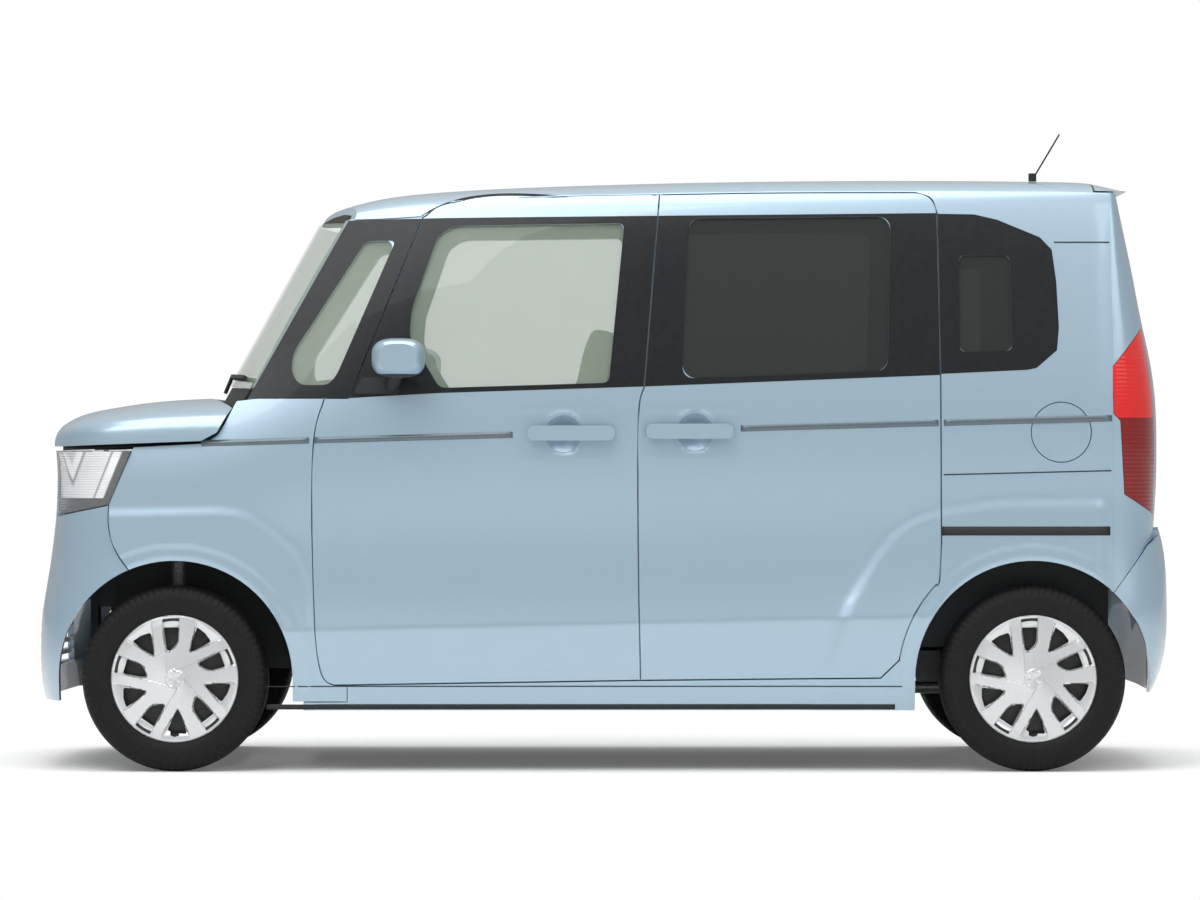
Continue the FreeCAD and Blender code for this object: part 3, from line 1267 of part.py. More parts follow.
def seat(foot_x, foot_z, wide, y, head):
    """Seat in side view, extruded across: base, cushion, leaning back and headrest."""
    top = foot_z + SEAT_BASE + CUSHION_HEIGHT
    back_x = foot_x
    base = block((foot_x - SEAT_DEPTH * 0.85, foot_x - SEAT_DEPTH * 0.1), (y - wide * 0.4, y + wide * 0.4),
                 (foot_z + SEAT_GAP, foot_z + SEAT_BASE))
    cushion = block((foot_x - SEAT_DEPTH, foot_x), (y - wide / 2, y + wide / 2), (foot_z + SEAT_BASE, top))
    cushion = softened(cushion, CUSHION_HEIGHT * 0.25)
    back = block((back_x - BACK_THICKNESS, back_x), (y - wide / 2, y + wide / 2),
                 (top - CUSHION_HEIGHT / 2, top + BACK_HEIGHT))
    back = softened(back, BACK_THICKNESS * 0.25)
    back_parts = [back]
    if head:
        rest = block((back_x - BACK_THICKNESS * 0.9, back_x - BACK_THICKNESS * 0.1),
                     (y - wide * 0.26, y + wide * 0.26),
                     (top + BACK_HEIGHT - SEAM, top + BACK_HEIGHT + HEAD_HEIGHT))
        back_parts.append(softened(rest, SKIN))
    back = joined(back_parts[0], *back_parts[1:]) if head else back
    back.rotate(Vector(back_x, 0, top - CUSHION_HEIGHT / 2), Vector(0, 1, 0), BACK_LEAN_DEGREES)
    return joined(base, cushion, back)


def front_seats():
    foot_x, foot_z = along(FRONT_SEAT_SHARE), up(FLOOR_SHARE)
    return Part.makeCompound([seat(foot_x, foot_z, SEAT_WIDTH, side * SEAT_Y, True)
                              for side in (-1, 1)])


def rear_seats():
    foot_x, foot_z = along(REAR_SEAT_SHARE), up(FLOOR_SHARE)
    return Part.makeCompound([seat(foot_x, foot_z, SEAT_WIDTH * 1.08, side * SEAT_Y * 0.84, True)
                              for side in (-1, 1)])


def dashboard():
    """Dashboard with flat ends, a rail under it that meets the firewall, and the column."""
    wall_x, wall_top = along(FIREWALL_X_SHARE) + SEAT_GAP, up(FIREWALL_TOP_SHARE)
    reach = (-DASH_HALF_WIDTH, DASH_HALF_WIDTH)
    body = across(side_polygon(spots(DASH_SHARES)), reach)
    rail = block((wall_x, wall_x + DASH_RAIL), reach, (wall_top - DASH_RAIL, wall_top - FLOOR_WALL))
    start, end = spots(COLUMN_SHARES)
    column = rod(COLUMN_RADIUS, (start[0] - COLUMN_RADIUS * 2, SEAT_Y, start[1] - COLUMN_RADIUS),
                 wheel_place(-STEERING_GRIP - SEAT_GAP))
    return biggest(joined(body, rail, column))


def wheel_axis():
    start, end = spots(COLUMN_SHARES)
    return Vector(end[0] - start[0], 0, end[1] - start[1]).normalize()


def wheel_place(distance):
    """Point on the steering axis, at a distance towards the driver."""
    end = spots(COLUMN_SHARES)[1]
    spot = Vector(end[0], SEAT_Y, end[1]) + wheel_axis() * distance
    return (spot.x, spot.y, spot.z)


def steering_wheel():
    centre, axis = Vector(*wheel_place(0)), wheel_axis()
    section = [(STEERING_WHEEL_RADIUS + STEERING_GRIP * math.cos(math.radians(degrees)),
                STEERING_GRIP * math.sin(math.radians(degrees))) for degrees in range(0, 360, 60)]
    points = [Vector(radius, 0, level) for radius, level in section]
    rim = Part.Face(Part.makePolygon(points + points[:1])).revolve(Vector(0, 0, 0), Vector(0, 0, 1), 360)
    rim.Placement = FreeCAD.Placement(centre, FreeCAD.Rotation(Vector(0, 0, 1), axis))
    hub = Part.makeCylinder(HUB_RADIUS, STEERING_GRIP * 2, centre - axis * STEERING_GRIP, axis)
    spokes = []
    for degrees in (0, 180, 270):
        arm = Part.makeBox(STEERING_WHEEL_RADIUS, STEERING_GRIP * 2, STEERING_GRIP,
                           Vector(0, -STEERING_GRIP, -STEERING_GRIP / 2))
        arm.rotate(Vector(0, 0, 0), Vector(0, 0, 1), degrees + 90)
        tilt = FreeCAD.Placement(centre, FreeCAD.Rotation(Vector(0, 0, 1), axis))
        arm.Placement = tilt.multiply(arm.Placement)
        spokes.append(arm)
    return joined(rim, hub, *spokes)


# Running gear


def revolved(profile, x, y, side):
    """Solid of revolution about the wheel axis; the profile holds (radius, outward) pairs."""
    points = [Vector(x + radius, y + side * outward, TYRE_RADIUS) for radius, outward in profile]
    face = Part.Face(Part.makePolygon(points + points[:1]))
    return positive(face.revolve(Vector(x, y, TYRE_RADIUS), Vector(0, 1, 0), 360))


def tyre(x, y, side):
    half = TYRE_WIDTH / 2
    profile = [(RIM_RADIUS + SEAT_GAP, RIM_HALF_WIDTH), (RIM_RADIUS + SKIN * 2, half),
               (TYRE_RADIUS - SKIN, half - TREAD_GROOVE / 2), (TYRE_RADIUS, half - SKIN * 1.5)]
    return revolved(profile + [(radius, -outward) for radius, outward in profile[::-1]], x, y, side)


def wheel(x, y, side):
    """Steel wheel: barrel, dished disc and hub boss."""
    half, inner = RIM_HALF_WIDTH, RIM_RADIUS - RIM_WALL * 4
    profile = [(RIM_RADIUS, half), (RIM_RADIUS, -half), (RIM_RADIUS - RIM_WALL, -half),
               (inner, -half + SKIN), (inner, DISC_INSET), (HUB_RADIUS, HUB_FACE - RIM_WALL),
               (SPINDLE_RADIUS / 2, HUB_FACE - RIM_WALL), (SPINDLE_RADIUS / 2, HUB_FACE + RIM_WALL),
               (HUB_RADIUS, HUB_FACE + RIM_WALL), (inner, DISC_INSET + RIM_WALL * 2),
               (inner, half - SKIN), (RIM_RADIUS - RIM_WALL, half)]
    return revolved(profile, x, y, side)


def wheel_cover(x, y, side):
    """Cover with five forked arms: a dished shell with ten windows."""
    face = TYRE_WIDTH / 2 - WHEEL_INSET / 2
    middle = face - COVER_DISH / 2
    profile = [(0, middle), (COVER_CAP_RADIUS, middle), (COVER_RADIUS * 0.55, face - COVER_WALL),
               (COVER_RADIUS * 0.9, face), (COVER_RADIUS, face - COVER_WALL / 2),
               (COVER_RADIUS, face - COVER_WALL), (RIM_RADIUS - SEAT_GAP, face - COVER_WALL),
               (RIM_RADIUS - SEAT_GAP, RIM_HALF_WIDTH + SEAT_GAP),
               (RIM_RADIUS - RIM_WALL, RIM_HALF_WIDTH + SEAT_GAP),
               (COVER_RADIUS * 0.88, face - COVER_WALL), (COVER_RADIUS * 0.55, face - COVER_WALL * 2),
               (COVER_CAP_RADIUS, middle - COVER_WALL * 2), (0, middle - COVER_WALL * 2)]
    shell = revolved(profile, x, y, side)
    tools = []
    for item in range(COVER_WINDOWS):
        shares = ARM_WINDOW_SHARES if item % 2 else GAP_WINDOW_SHARES
        points = []
        for reach, turn in shares:
            angle = 2 * math.pi * (item + turn) / COVER_WINDOWS - math.pi / 2 + math.pi / COVER_WINDOWS
            points.append((x + COVER_RADIUS * reach * math.cos(angle),
                           TYRE_RADIUS + COVER_RADIUS * reach * math.sin(angle)))
        tools.append(across(side_polygon(points), sorted((y, y + side * TYRE_WIDTH))))
    return shell.cut(tools)


def ball_joint(side):
    return Vector(FRONT_AXLE_X, side * BALL_JOINT_Y, LOWER_ARM_Z)


def strut_top(side):
    return Vector(FRONT_AXLE_X, side * STRUT_TOP_Y, up(TOWER_SHARE) - SEAT_GAP)


def knuckle(side):
    """Front upright: brake disc, spindle, carrier over the ball joint, and strut."""
    y = side * WHEEL_Y
    face, back = y + side * (HUB_FACE - RIM_WALL - SEAT_GAP), y - side * BRAKE_WALL
    spindle = rod(SPINDLE_RADIUS / 2 - SEAT_GAP, (FRONT_AXLE_X, back, TYRE_RADIUS),
                  (FRONT_AXLE_X, y + side * (HUB_FACE + RIM_WALL), TYRE_RADIUS))
    hub = rod(HUB_RADIUS, (FRONT_AXLE_X, back, TYRE_RADIUS), (FRONT_AXLE_X, face, TYRE_RADIUS))
    disc = rod(BRAKE_RADIUS, (FRONT_AXLE_X, y, TYRE_RADIUS), (FRONT_AXLE_X, back, TYRE_RADIUS))
    top, low = strut_top(side), ball_joint(side)
    carrier = block((FRONT_AXLE_X - SPINDLE_RADIUS, FRONT_AXLE_X + SPINDLE_RADIUS),
                    sorted((back, top.y - side * STRUT_RADIUS)),
                    (TYRE_RADIUS - SPINDLE_RADIUS, TYRE_RADIUS + SPINDLE_RADIUS))
    leg = block((FRONT_AXLE_X - ARM_HEIGHT / 2, FRONT_AXLE_X + ARM_HEIGHT / 2),
                sorted((low.y - side * ARM_HEIGHT / 2, low.y + side * ARM_HEIGHT / 2)),
                (LOWER_ARM_Z + SEAT_GAP, TYRE_RADIUS))
    strut = rod(STRUT_RADIUS, (FRONT_AXLE_X, top.y + side * SEAM * 2, TYRE_RADIUS), top)
    return biggest(joined(spindle, hub, disc, carrier, leg, strut))


def front_subframe():
    """Cross member under the rails, with a lower arm out to each upright."""
    z = LOWER_ARM_Z
    start = FRONT_AXLE_X - MEMBER_LENGTH / 4
    pieces = [block((start, start + MEMBER_LENGTH), (-MEMBER_HALF_WIDTH, MEMBER_HALF_WIDTH),
                    (z - ARM_HEIGHT, z + MEMBER_HEIGHT - ARM_HEIGHT))]
    inner, outer = RAIL_HALF_WIDTHS
    for side in (-1, 1):
        pieces.append(block((start, start + MEMBER_LENGTH / 3),
                            sorted((side * (inner + SEAM), side * (outer - SEAM))),
                            (z - ARM_HEIGHT, up(RAIL_SHARES[0]) - SEAT_GAP)))
        root_y = side * MEMBER_HALF_WIDTH * 0.9
        points = [(start, root_y), (start + MEMBER_LENGTH, root_y),
                  (FRONT_AXLE_X + ARM_HEIGHT, side * BALL_JOINT_Y),
                  (FRONT_AXLE_X, side * (BALL_JOINT_Y + ARM_HEIGHT)),
                  (FRONT_AXLE_X - ARM_HEIGHT, side * BALL_JOINT_Y)]
        vectors = [Vector(x, y, z - ARM_HEIGHT) for x, y in points]
        arm = Part.Face(Part.makePolygon(vectors + vectors[:1])).extrude(Vector(0, 0, ARM_HEIGHT))
        pieces.append(arm)
    return joined(*pieces)


def engine_block():
    start = front_panel_x() + FLOOR_WALL * 3
    z = LOWER_ARM_Z + MEMBER_HEIGHT - ARM_HEIGHT + SEAT_GAP
    return block((start, start + ENGINE_LENGTH), (-ENGINE_WIDTH / 2, ENGINE_WIDTH / 2),
                 (z, z + ENGINE_HEIGHT))


def fuel_tank():
    top = up(FLOOR_SHARE) - FLOOR_WALL - SEAT_GAP
    tank = block((along(TANK_SHARES[0]), along(TANK_SHARES[1])), (-TANK_HALF_WIDTH, TANK_HALF_WIDTH),
                 (top - TANK_HEIGHT, top))
    return tank.makeFillet(SKIN, [edge for edge in tank.Edges if edge.BoundBox.ZMax < top - SEAM])


def exhaust():
    """Pipe under the floor to a silencer behind the rear axle, on two hangers."""
    start, end = along(FIREWALL_X_SHARE), along(1.36)
    pipe = rod(PIPE_RADIUS, (start, PIPE_Y, PIPE_Z), (end, PIPE_Y, PIPE_Z))
    muffler_y, muffler_z = PIPE_Y + MUFFLER_RADIUS, PIPE_Z + MUFFLER_RADIUS / 2
    muffler = rod(MUFFLER_RADIUS, (end, muffler_y - MUFFLER_LENGTH, muffler_z), (end, muffler_y, muffler_z))
    hangers = []
    for offset in (MUFFLER_RADIUS / 2, MUFFLER_RADIUS - MUFFLER_LENGTH * 0.85):
        hangers.append(rod(HANGER_RADIUS, (end, PIPE_Y + offset, PIPE_Z),
                           (end, PIPE_Y + offset, up(LOAD_FLOOR_SHARE) - FLOOR_WALL - SEAT_GAP)))
    return joined(pipe, muffler, *hangers)


def rear_axle():
    """Beam between the rear wheels with a trailing arm and a spring seat on each side."""
    spindle_end = WHEEL_Y + HUB_FACE + RIM_WALL
    beam = rod(BEAM_RADIUS, (REAR_AXLE_X, -REAR_TUB_INNER_Y, TYRE_RADIUS),
               (REAR_AXLE_X, REAR_TUB_INNER_Y, TYRE_RADIUS))
    pieces = [beam, rod(SPINDLE_RADIUS / 2 - SEAT_GAP, (REAR_AXLE_X, -spindle_end, TYRE_RADIUS),
                        (REAR_AXLE_X, spindle_end, TYRE_RADIUS))]
    pivot = along(FLOOR_REAR_SHARE) + SEAT_GAP
    spring_top = up(LOAD_FLOOR_SHARE) - FLOOR_WALL - SEAT_GAP
    for side in (-1, 1):
        y = side * SPRING_Y
        pieces.append(rod(HUB_RADIUS, (REAR_AXLE_X, side * REAR_TUB_INNER_Y, TYRE_RADIUS),
                          (REAR_AXLE_X, side * (WHEEL_Y + HUB_FACE - RIM_WALL - SEAT_GAP), TYRE_RADIUS)))
        pieces.append(block((pivot, REAR_AXLE_X), sorted((y - BEAM_RADIUS, y + BEAM_RADIUS)),
                            (TYRE_RADIUS - BEAM_RADIUS / 2, TYRE_RADIUS + BEAM_RADIUS / 2)))
        pieces.append(block((pivot, pivot + BEAM_RADIUS * 2), sorted((y - BEAM_RADIUS, y + BEAM_RADIUS)),
                            (TYRE_RADIUS - BEAM_RADIUS / 2, up(FLOOR_SHARE) + BEAM_RADIUS)))
        pieces.append(rod(BEAM_RADIUS, (REAR_AXLE_X, y, TYRE_RADIUS), (REAR_AXLE_X, y, spring_top)))
    return joined(*pieces)


def bar_along(places, across_way, up_way):
    """Slim bar with a square section through a row of places."""
    return faceted([[place + across_way * (WIPER_RADIUS * a) + up_way * (WIPER_RADIUS * b)
                     for a, b in ((-1, -1), (1, -1), (1, 1), (-1, 1))] for place in places])


def front_wipers():
    """Two blades along the foot of the windscreen, each with its arm down to the cowl."""
    out = screen_normal() * -1
    slope = (screen_point(1, 0) - screen_point(0, 0)).normalize()
    wipers = []
    cowl, screen = cowl_panel(), windscreen()
    cowl.translate(Vector(0, 0, SEAT_GAP))
    screen.translate(out * SEAT_GAP)
    tools = [cowl, screen]
    for first, last in WIPER_SPANS_SHARES:
        places = [screen_point(0.05, part) + out * (WIPER_RADIUS + SEAT_GAP)
                  for part in steps(first, last, 5)]
        blade = bar_along(places, slope, out)
        tip = places[-1]
        foot = tip - slope * (WIPER_RADIUS * WIPER_ARM_SHARE) - out * WIPER_RADIUS
        arm = rod(WIPER_RADIUS, foot, tip)
        wipers.append(biggest(joined(blade, arm).cut(tools)))
    return Part.makeCompound(wipers)


def antenna():
    """Slim leaning mast on a round foot that stands on the roof."""
    foot, tip = spots(ANTENNA_SHARES)
    start = Vector(foot[0], ANTENNA_Y, foot[1])
    foot_block = rod(ANTENNA_FOOT_RADIUS, start, (foot[0], ANTENNA_Y, foot[1] + ANTENNA_FOOT_HEIGHT))
    foot_block.translate(Vector(0, 0, SKIN))
    drop = foot_block.distToShape(roof_panel())[0] - SEAT_GAP
    foot_block.translate(Vector(0, 0, -drop))
    start.z = foot_block.BoundBox.ZMin + ANTENNA_RADIUS * 2
    mast = rod(ANTENNA_RADIUS, start, (tip[0], ANTENNA_Y, tip[1]))
    return joined(foot_block, mast)


def rear_wiper():
    """Blade on the tailgate glass, with the arm from its pivot below the glass."""
    z = up(GATE_GLASS_SHARES[0][0]) + SKIN * 2
    places = []
    for part in steps(-0.2, 0.8, 4):
        y = part * REAR_WIPER_LENGTH
        places.append(Vector(tail_x(y, z) + WIPER_RADIUS + SEAM, y, z))
    blade = bar_along(places, Vector(0, 0, 1), Vector(1, 0, 0))
    pivot = Vector(0, 0, z - SKIN * 3)
    pivot.x = tail_x(0, pivot.z)
    boss = rod(WIPER_RADIUS * 2, pivot - Vector(SKIN, 0, 0), pivot + Vector(SKIN, 0, 0))
    arm = rod(WIPER_RADIUS * 0.9, pivot + Vector(WIPER_RADIUS, 0, 0), (places[1].x, places[1].y, z))
    region = tail_region(GATE_TAIL_SHARES, GATE_FOOT_SHARE, GATE_TAIL_SHARES[-1][0])
    region.translate(Vector(SEAT_GAP, 0, 0))
    return biggest(joined(blade, arm, boss).cut(region))


def tail_x(y, z):
    """How far back the tail skin stands at a place across the car."""
    start = along(TAIL_START_SHARE)
    reach = along(curve(GATE_TAIL_SHARES, z / ROOF_HEIGHT)) - start
    return start + reach * (1 - abs(y / half_width(start, z)) ** TAIL_POWER) ** (1 / TAIL_POWER)


def buffer_on(x, z, near, far):
    """Small rubber block on the body side that a closed door rests on."""
    face = side_polygon([(x - SKIN / 2, z - SKIN), (x + SKIN / 2, z - SKIN), (x + SKIN / 2, z + SKIN),
                         (x - SKIN / 2, z + SKIN)])
    return across(face).common(core(near)).cut(core(far))


def left_body_side():
    rear = along(0.5395)
    side = body_side()
    for x in (rear - FLANGE / 2, rear + FLANGE / 2):
        side = side.fuse(buffer_on(x, up(0.45), SKIN + SEAT_GAP, SKIN + RUNNING_GAP * 2))
    return side.cut(belt_groove())


def parts():
    """Every piece by name; pieces of one kind on one body share a name."""
    left = left_body_side()
    groove = belt_groove()
    pieces = {
        "body_side_left": left.cut(fuel_pocket()),
        "body_side_right": mirrored(left),
        "inner_body": inner_body(),
        "front_frame": front_frame(),
        "front_wheel_housings": both(front_housing()),
        "rear_wheel_housings": both(rear_housing()),
        "roof_panel": roof_panel(),
        "front_fenders": both(fender().cut(groove)),
        "front_bumper": front_bumper(),
        "front_grille": front_grille(),
        "headlamps": headlamps(),
        "cowl_panel": cowl_panel(),
        "windscreen": windscreen(),
        "side_windows": side_windows(),
        "sliding_doors": both(slider().cut(groove)),
        "sliding_door_handles": both(grip(SLIDER_HANDLE_SHARE)),
        "rear_bumper": rear_bumper(),
        "tail_lamps": both(tail_lamps()),
        "front_wipers": front_wipers(),
        "antenna": antenna(),
        "front_seats": front_seats(),
        "rear_seats": rear_seats(),
        "dashboard": dashboard(),
        "engine_block": engine_block(),
        "fuel_tank": fuel_tank(),
        "exhaust": exhaust(),
        "rear_axle": rear_axle(),
        "front_subframe": front_subframe(),
        "bonnet": bonnet(),
        "tailgate": plate_holes(biggest(joined(tailgate(), spoiler()))),
        "tailgate_glass": tailgate_glass(),
        "rear_wiper": rear_wiper(),
        "fuel_lid": fuel_lid(),
        "steering_wheel": steering_wheel(),
    }
    door = {"door": front_door().cut(groove), "door_glass": door_glass(), "mirror": mirror(),
            "door_handle": grip(FRONT_HANDLE_SHARE)}
    for name, shape in door.items():
        pieces[name + "_left"] = shape
        pieces[name + "_right"] = mirrored(shape)
    for word, side in (("left", -1), ("right", 1)):
        pieces["knuckle_" + word] = knuckle(side)
        for end, axle_x in (("front", FRONT_AXLE_X), ("rear", REAR_AXLE_X)):
            place = f"{end}_{word}"
            pieces["tyre_" + place] = tyre(axle_x, side * WHEEL_Y, side)
            pieces["wheel_" + place] = wheel(axle_x, side * WHEEL_Y, side)
            pieces["wheel_cover_" + place] = wheel_cover(axle_x, side * WHEEL_Y, side)
    return pieces


if __name__ == "__main__":
    os.makedirs("parts", exist_ok=True)
    for node, shape in parts().items():
        shape.exportStep(f"parts/{node}.step")
        print(node, len(shape.Solids), round(shape.Volume))
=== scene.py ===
"""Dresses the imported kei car: painted panels, glass, lamps, wheels, cabin and studio."""
import json
import math

import bmesh
import bpy
import numpy as np
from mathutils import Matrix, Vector
from mathutils.geometry import delaunay_2d_cdt

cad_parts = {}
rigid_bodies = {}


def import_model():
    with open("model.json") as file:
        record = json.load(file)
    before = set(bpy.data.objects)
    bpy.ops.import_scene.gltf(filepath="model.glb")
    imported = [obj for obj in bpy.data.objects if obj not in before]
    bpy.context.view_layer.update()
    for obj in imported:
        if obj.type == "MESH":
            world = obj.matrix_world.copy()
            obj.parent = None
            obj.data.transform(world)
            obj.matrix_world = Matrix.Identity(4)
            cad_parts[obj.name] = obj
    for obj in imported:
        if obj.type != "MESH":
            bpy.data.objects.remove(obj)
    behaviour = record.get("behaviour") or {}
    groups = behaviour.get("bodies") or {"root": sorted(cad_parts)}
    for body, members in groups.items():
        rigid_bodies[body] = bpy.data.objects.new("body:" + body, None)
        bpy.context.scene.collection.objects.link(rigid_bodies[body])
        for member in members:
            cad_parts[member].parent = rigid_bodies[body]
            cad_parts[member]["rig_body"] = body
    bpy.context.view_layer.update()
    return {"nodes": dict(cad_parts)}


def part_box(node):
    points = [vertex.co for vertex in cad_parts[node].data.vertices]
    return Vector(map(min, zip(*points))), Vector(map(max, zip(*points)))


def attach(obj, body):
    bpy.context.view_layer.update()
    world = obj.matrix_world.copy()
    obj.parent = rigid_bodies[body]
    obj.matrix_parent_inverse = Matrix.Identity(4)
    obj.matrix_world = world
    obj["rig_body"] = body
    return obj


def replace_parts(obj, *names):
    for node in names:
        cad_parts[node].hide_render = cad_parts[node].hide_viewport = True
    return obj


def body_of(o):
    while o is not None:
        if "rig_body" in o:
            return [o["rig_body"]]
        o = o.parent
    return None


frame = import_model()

bl_info = {
    "name": "Kei car dressing",
    "version": (1, 0, 0),
    "blender": (4, 5, 0),
    "location": "3D View > Sidebar > Kei car",
    "description": "Paint, glass, lamps, wheels, cabin and studio for the packed kei car",
    "category": "Object",
}

# Sizes of the car in metres: front is -X, the car's left is -Y, up is +Z. A station is -1 at the
# nose, 0 at the front axle, 1 at the rear axle and 2 at the tail; a share is one of the roof height

WHEELBASE, FRONT_OVERHANG, REAR_OVERHANG = 2.520, 0.443, 0.432
LENGTH = FRONT_OVERHANG + WHEELBASE + REAR_OVERHANG
FRONT_AXLE = FRONT_OVERHANG - LENGTH / 2
REAR_AXLE = FRONT_AXLE + WHEELBASE
HALF_WIDTH, ROOF_HEIGHT = 0.7375, 1.766
WHEEL_Y, TYRE_RADIUS = 0.6525, 0.273
COVER_RADIUS, ARCH_RADIUS = 0.192, 0.347
SIDES = {"left": -1, "right": 1}

# Side section of the body as (height share, half width share)
CREASE_SHARE, RAKE = 0.247, 0.022
LOWER_SECTION = [(0.080, 0.930), (0.103, 0.949), (0.143, 0.971), (0.200, 0.988), (0.247, 1.0)]
UPPER_SECTION = [(0.247, 1.0), (0.294, 0.979), (0.340, 0.968), (0.408, 0.965), (0.481, 0.972), (0.546, 0.979),
                 (0.623, 0.969), (0.708, 0.942), (0.793, 0.911), (0.878, 0.872), (0.929, 0.838)]
NOSE_PROFILE = [(0.100, -0.955), (0.121, -0.972), (0.141, -0.996), (0.180, -1.0), (0.242, -1.0),
                (0.282, -0.978), (0.323, -0.945), (0.363, -0.922), (0.424, -0.892), (0.464, -0.886),
                (0.505, -0.886), (0.540, -0.897)]
SKIN_STATIONS = [-0.45, -0.2, 0.0, 0.07, 0.14, 0.21, 0.3, 0.45, 0.65, 0.80, 0.87, 0.94, 1.0, 1.3, 1.543]
LOWER_LEVELS, UPPER_LEVELS = [0.084, 0.160, 0.247], [0.247, 0.290, 0.340, 0.410, 0.50, 0.60, 0.70, 0.80, 0.88,
                                                     0.93, 0.972]
BLISTER, BLISTER_REACH, BLISTER_RISE, BLISTER_FADE = 0.013, 0.400, 0.500, 0.30
CROWN_SHARE, CROWN_SPAN, CROWN_WIDTH, CROWN_SLOPE = 0.929, 0.071, 0.838, 0.28
SCREEN_TUCK, SCREEN_REACH, SCREEN_SILL = 0.055, 0.450, 0.5355
TAIL_TUCK, NOSE_START, NOSE_POWER = 0.012, -0.270, 3.2
SCREEN_FOOT, SCREEN_TOP, SCREEN_BOW, SCREEN_DROP = (0.0466, 0.645), (0.1538, 0.922), 0.112, 0.012

# Seams of the side view as (station, share)
DOOR_TOP = [(0.2875, 0.924), (0.3232, 0.950), (0.4427, 0.959), (0.5653, 0.9625)]
DOOR_REAR = [(0.547, 0.640), (0.541, 0.605), (0.5395, 0.491), (0.5405, 0.304), (0.5427, 0.152)]
DOOR_FRONT = [(0.1855, 0.144), (0.1752, 0.152), (0.1685, 0.177), (0.1637, 0.237), (0.1597, 0.406),
              (0.1621, 0.555), (0.174, 0.621)]
DOOR_SHOULDER = [(0.2026, 0.621)]
SLIDER_TOP = [(0.5653, 0.9625), (0.7, 0.9655), (0.8657, 0.966)]
SLIDER_CORNER = [(0.8657, 0.966), (0.883, 0.956), (0.8899, 0.9326)]
SLIDER_REAR = [(0.8923, 0.660), (0.893, 0.3805)]
SLIDER_FOOT = [(0.822, 0.156)]
SLIDER_ARCH_DEGREES, SLIDER_ARCH_GAP = (134.0, 172.0), 0.051
FENDER_TIP, SHELL_FOOT, SHELL_CORNER = (0.201, 0.116), 0.102, (1.05, 0.53)
PILLAR_EDGE = [(0.150, 0.9195), (0.094, 0.621), (0.150, 0.621)]
FENDER_TOP = [(-0.791, 0.537), (0.0307, 0.546), (0.049, 0.560), (0.0708, 0.617)]
FENDER_LAMP = [(-0.437, 0.444), (-0.277, 0.540)]
BUMPER_SEAM = [(-0.305, 0.336), (-0.420, 0.385), (-0.437, 0.444)]
PILLAR_FOOT = [(0.094, 0.621)]
ROOF_SEAM = [(0.150, 0.9195), (0.240, 0.9225), (0.2855, 0.9262), (0.3222, 0.9525), (0.4427, 0.9615),
             (0.5653, 0.965), (0.7, 0.968), (0.8657, 0.9685), (1.2, 0.967), (1.45, 0.9655)]
DOOR_GLASS = [(0.306, 0.8935), (0.3236, 0.910), (0.524, 0.914), (0.5058, 0.6467), (0.3085, 0.638),
              (0.2732, 0.723), (0.2756, 0.770)]
SLIDER_GLASS = [(0.5994, 0.922), (0.8355, 0.925), (0.8308, 0.6665), (0.591, 0.6535)]
QUARTER_PANE = [(0.2208, 0.8845), (0.2562, 0.886), (0.1883, 0.6597), (0.178, 0.643), (0.145, 0.643),
                (0.1347, 0.665), (0.137, 0.698)]
REAR_PANE = [(0.915, 0.860), (0.974, 0.860), (0.976, 0.700), (0.915, 0.698)]
FUEL_LID, FUEL_LID_RADIUS = (0.5645, 1.191), 0.087
DOOR_BOWL, SLIDER_BOWL, BOWL_RADIUS, BOWL_DEPTH = (0.453, 0.563), (0.606, 0.566), 0.059, 0.026

# Forms of the side that the photograph shows, in metres as (x, z)
BAND_TOP = [(-1.10, 1.618), (-0.745, 1.625), (-0.48, 1.630), (0.988, 1.644), (1.10, 1.645)]
BAND_FOOT = [(-1.10, 1.097), (-0.744, 1.097), (-0.475, 1.112), (0.124, 1.131), (0.994, 1.165), (1.10, 1.17)]
REAR_BAND = [(0.984, 1.642), (1.098, 1.640), (1.166, 1.624), (1.29, 1.572), (1.325, 1.535), (1.337, 1.44),
             (1.343, 1.305), (1.337, 1.238), (1.277, 1.186), (1.25, 1.180), (0.993, 1.168)]
# Line of the belt step, and where on each panel its strip of painted shade runs
BELT_LINE = [(-1.177, 0.964), (1.493, 1.038)]
BELT_RUNS = {"fender": (-1.177, -0.860), "door": (-0.845, -0.262), "slider": (0.407, 0.988),
             "side": (1.003, 1.497)}
FRONT_FLARE = [(-1.48, 0.784), (-1.445, 0.784), (-1.130, 0.790), (-1.065, 0.783), (-1.018, 0.769),
               (-0.943, 0.710), (-0.876, 0.650), (-0.842, 0.560), (-0.835, 0.45), (-0.83, 0.20)]
REAR_FLARE = [(0.60, 0.20), (0.70, 0.50), (0.786, 0.642), (0.835, 0.703), (0.877, 0.739), (0.930, 0.766),
              (0.993, 0.784), (1.152, 0.810), (1.529, 0.815)]
HANDLE_POCKETS = [(-0.254, 0.030, 0.925, 1.063), (0.118, 0.399, 0.930, 1.063)]
SLIDE_SLOT = [(0.997, 0.707), (1.492, 0.707)]
STRIPS = {  # thin dark lines as (path, width)
    "upper_seam": ([(1.332, 1.557), (1.495, 1.557)], 0.0035),
    "tail_seam": ([(1.003, 0.872), (1.495, 0.884)], 0.0035),
    "sill_strip": ([(-0.985, 0.1905), (0.860, 0.1905)], 0.0150),
    "sill_seam": ([(-0.985, 0.2510), (0.880, 0.2510)], 0.0030),
}
PILLAR_BAND = [(-1.10, 1.618), (-0.42, 1.631), (-0.42, 1.100), (-1.10, 1.097)]
PANE_CORNER, SLIDER_CORNER_RADIUS = 0.020, 0.040
SCREEN_PAST, AHEAD = 0.4, -1.9  # how far the screen's edge is carried on, and a place ahead of the nose
KEYHOLE, KEYHOLE_DEPTH = (-0.056, 0.9945), 0.0008
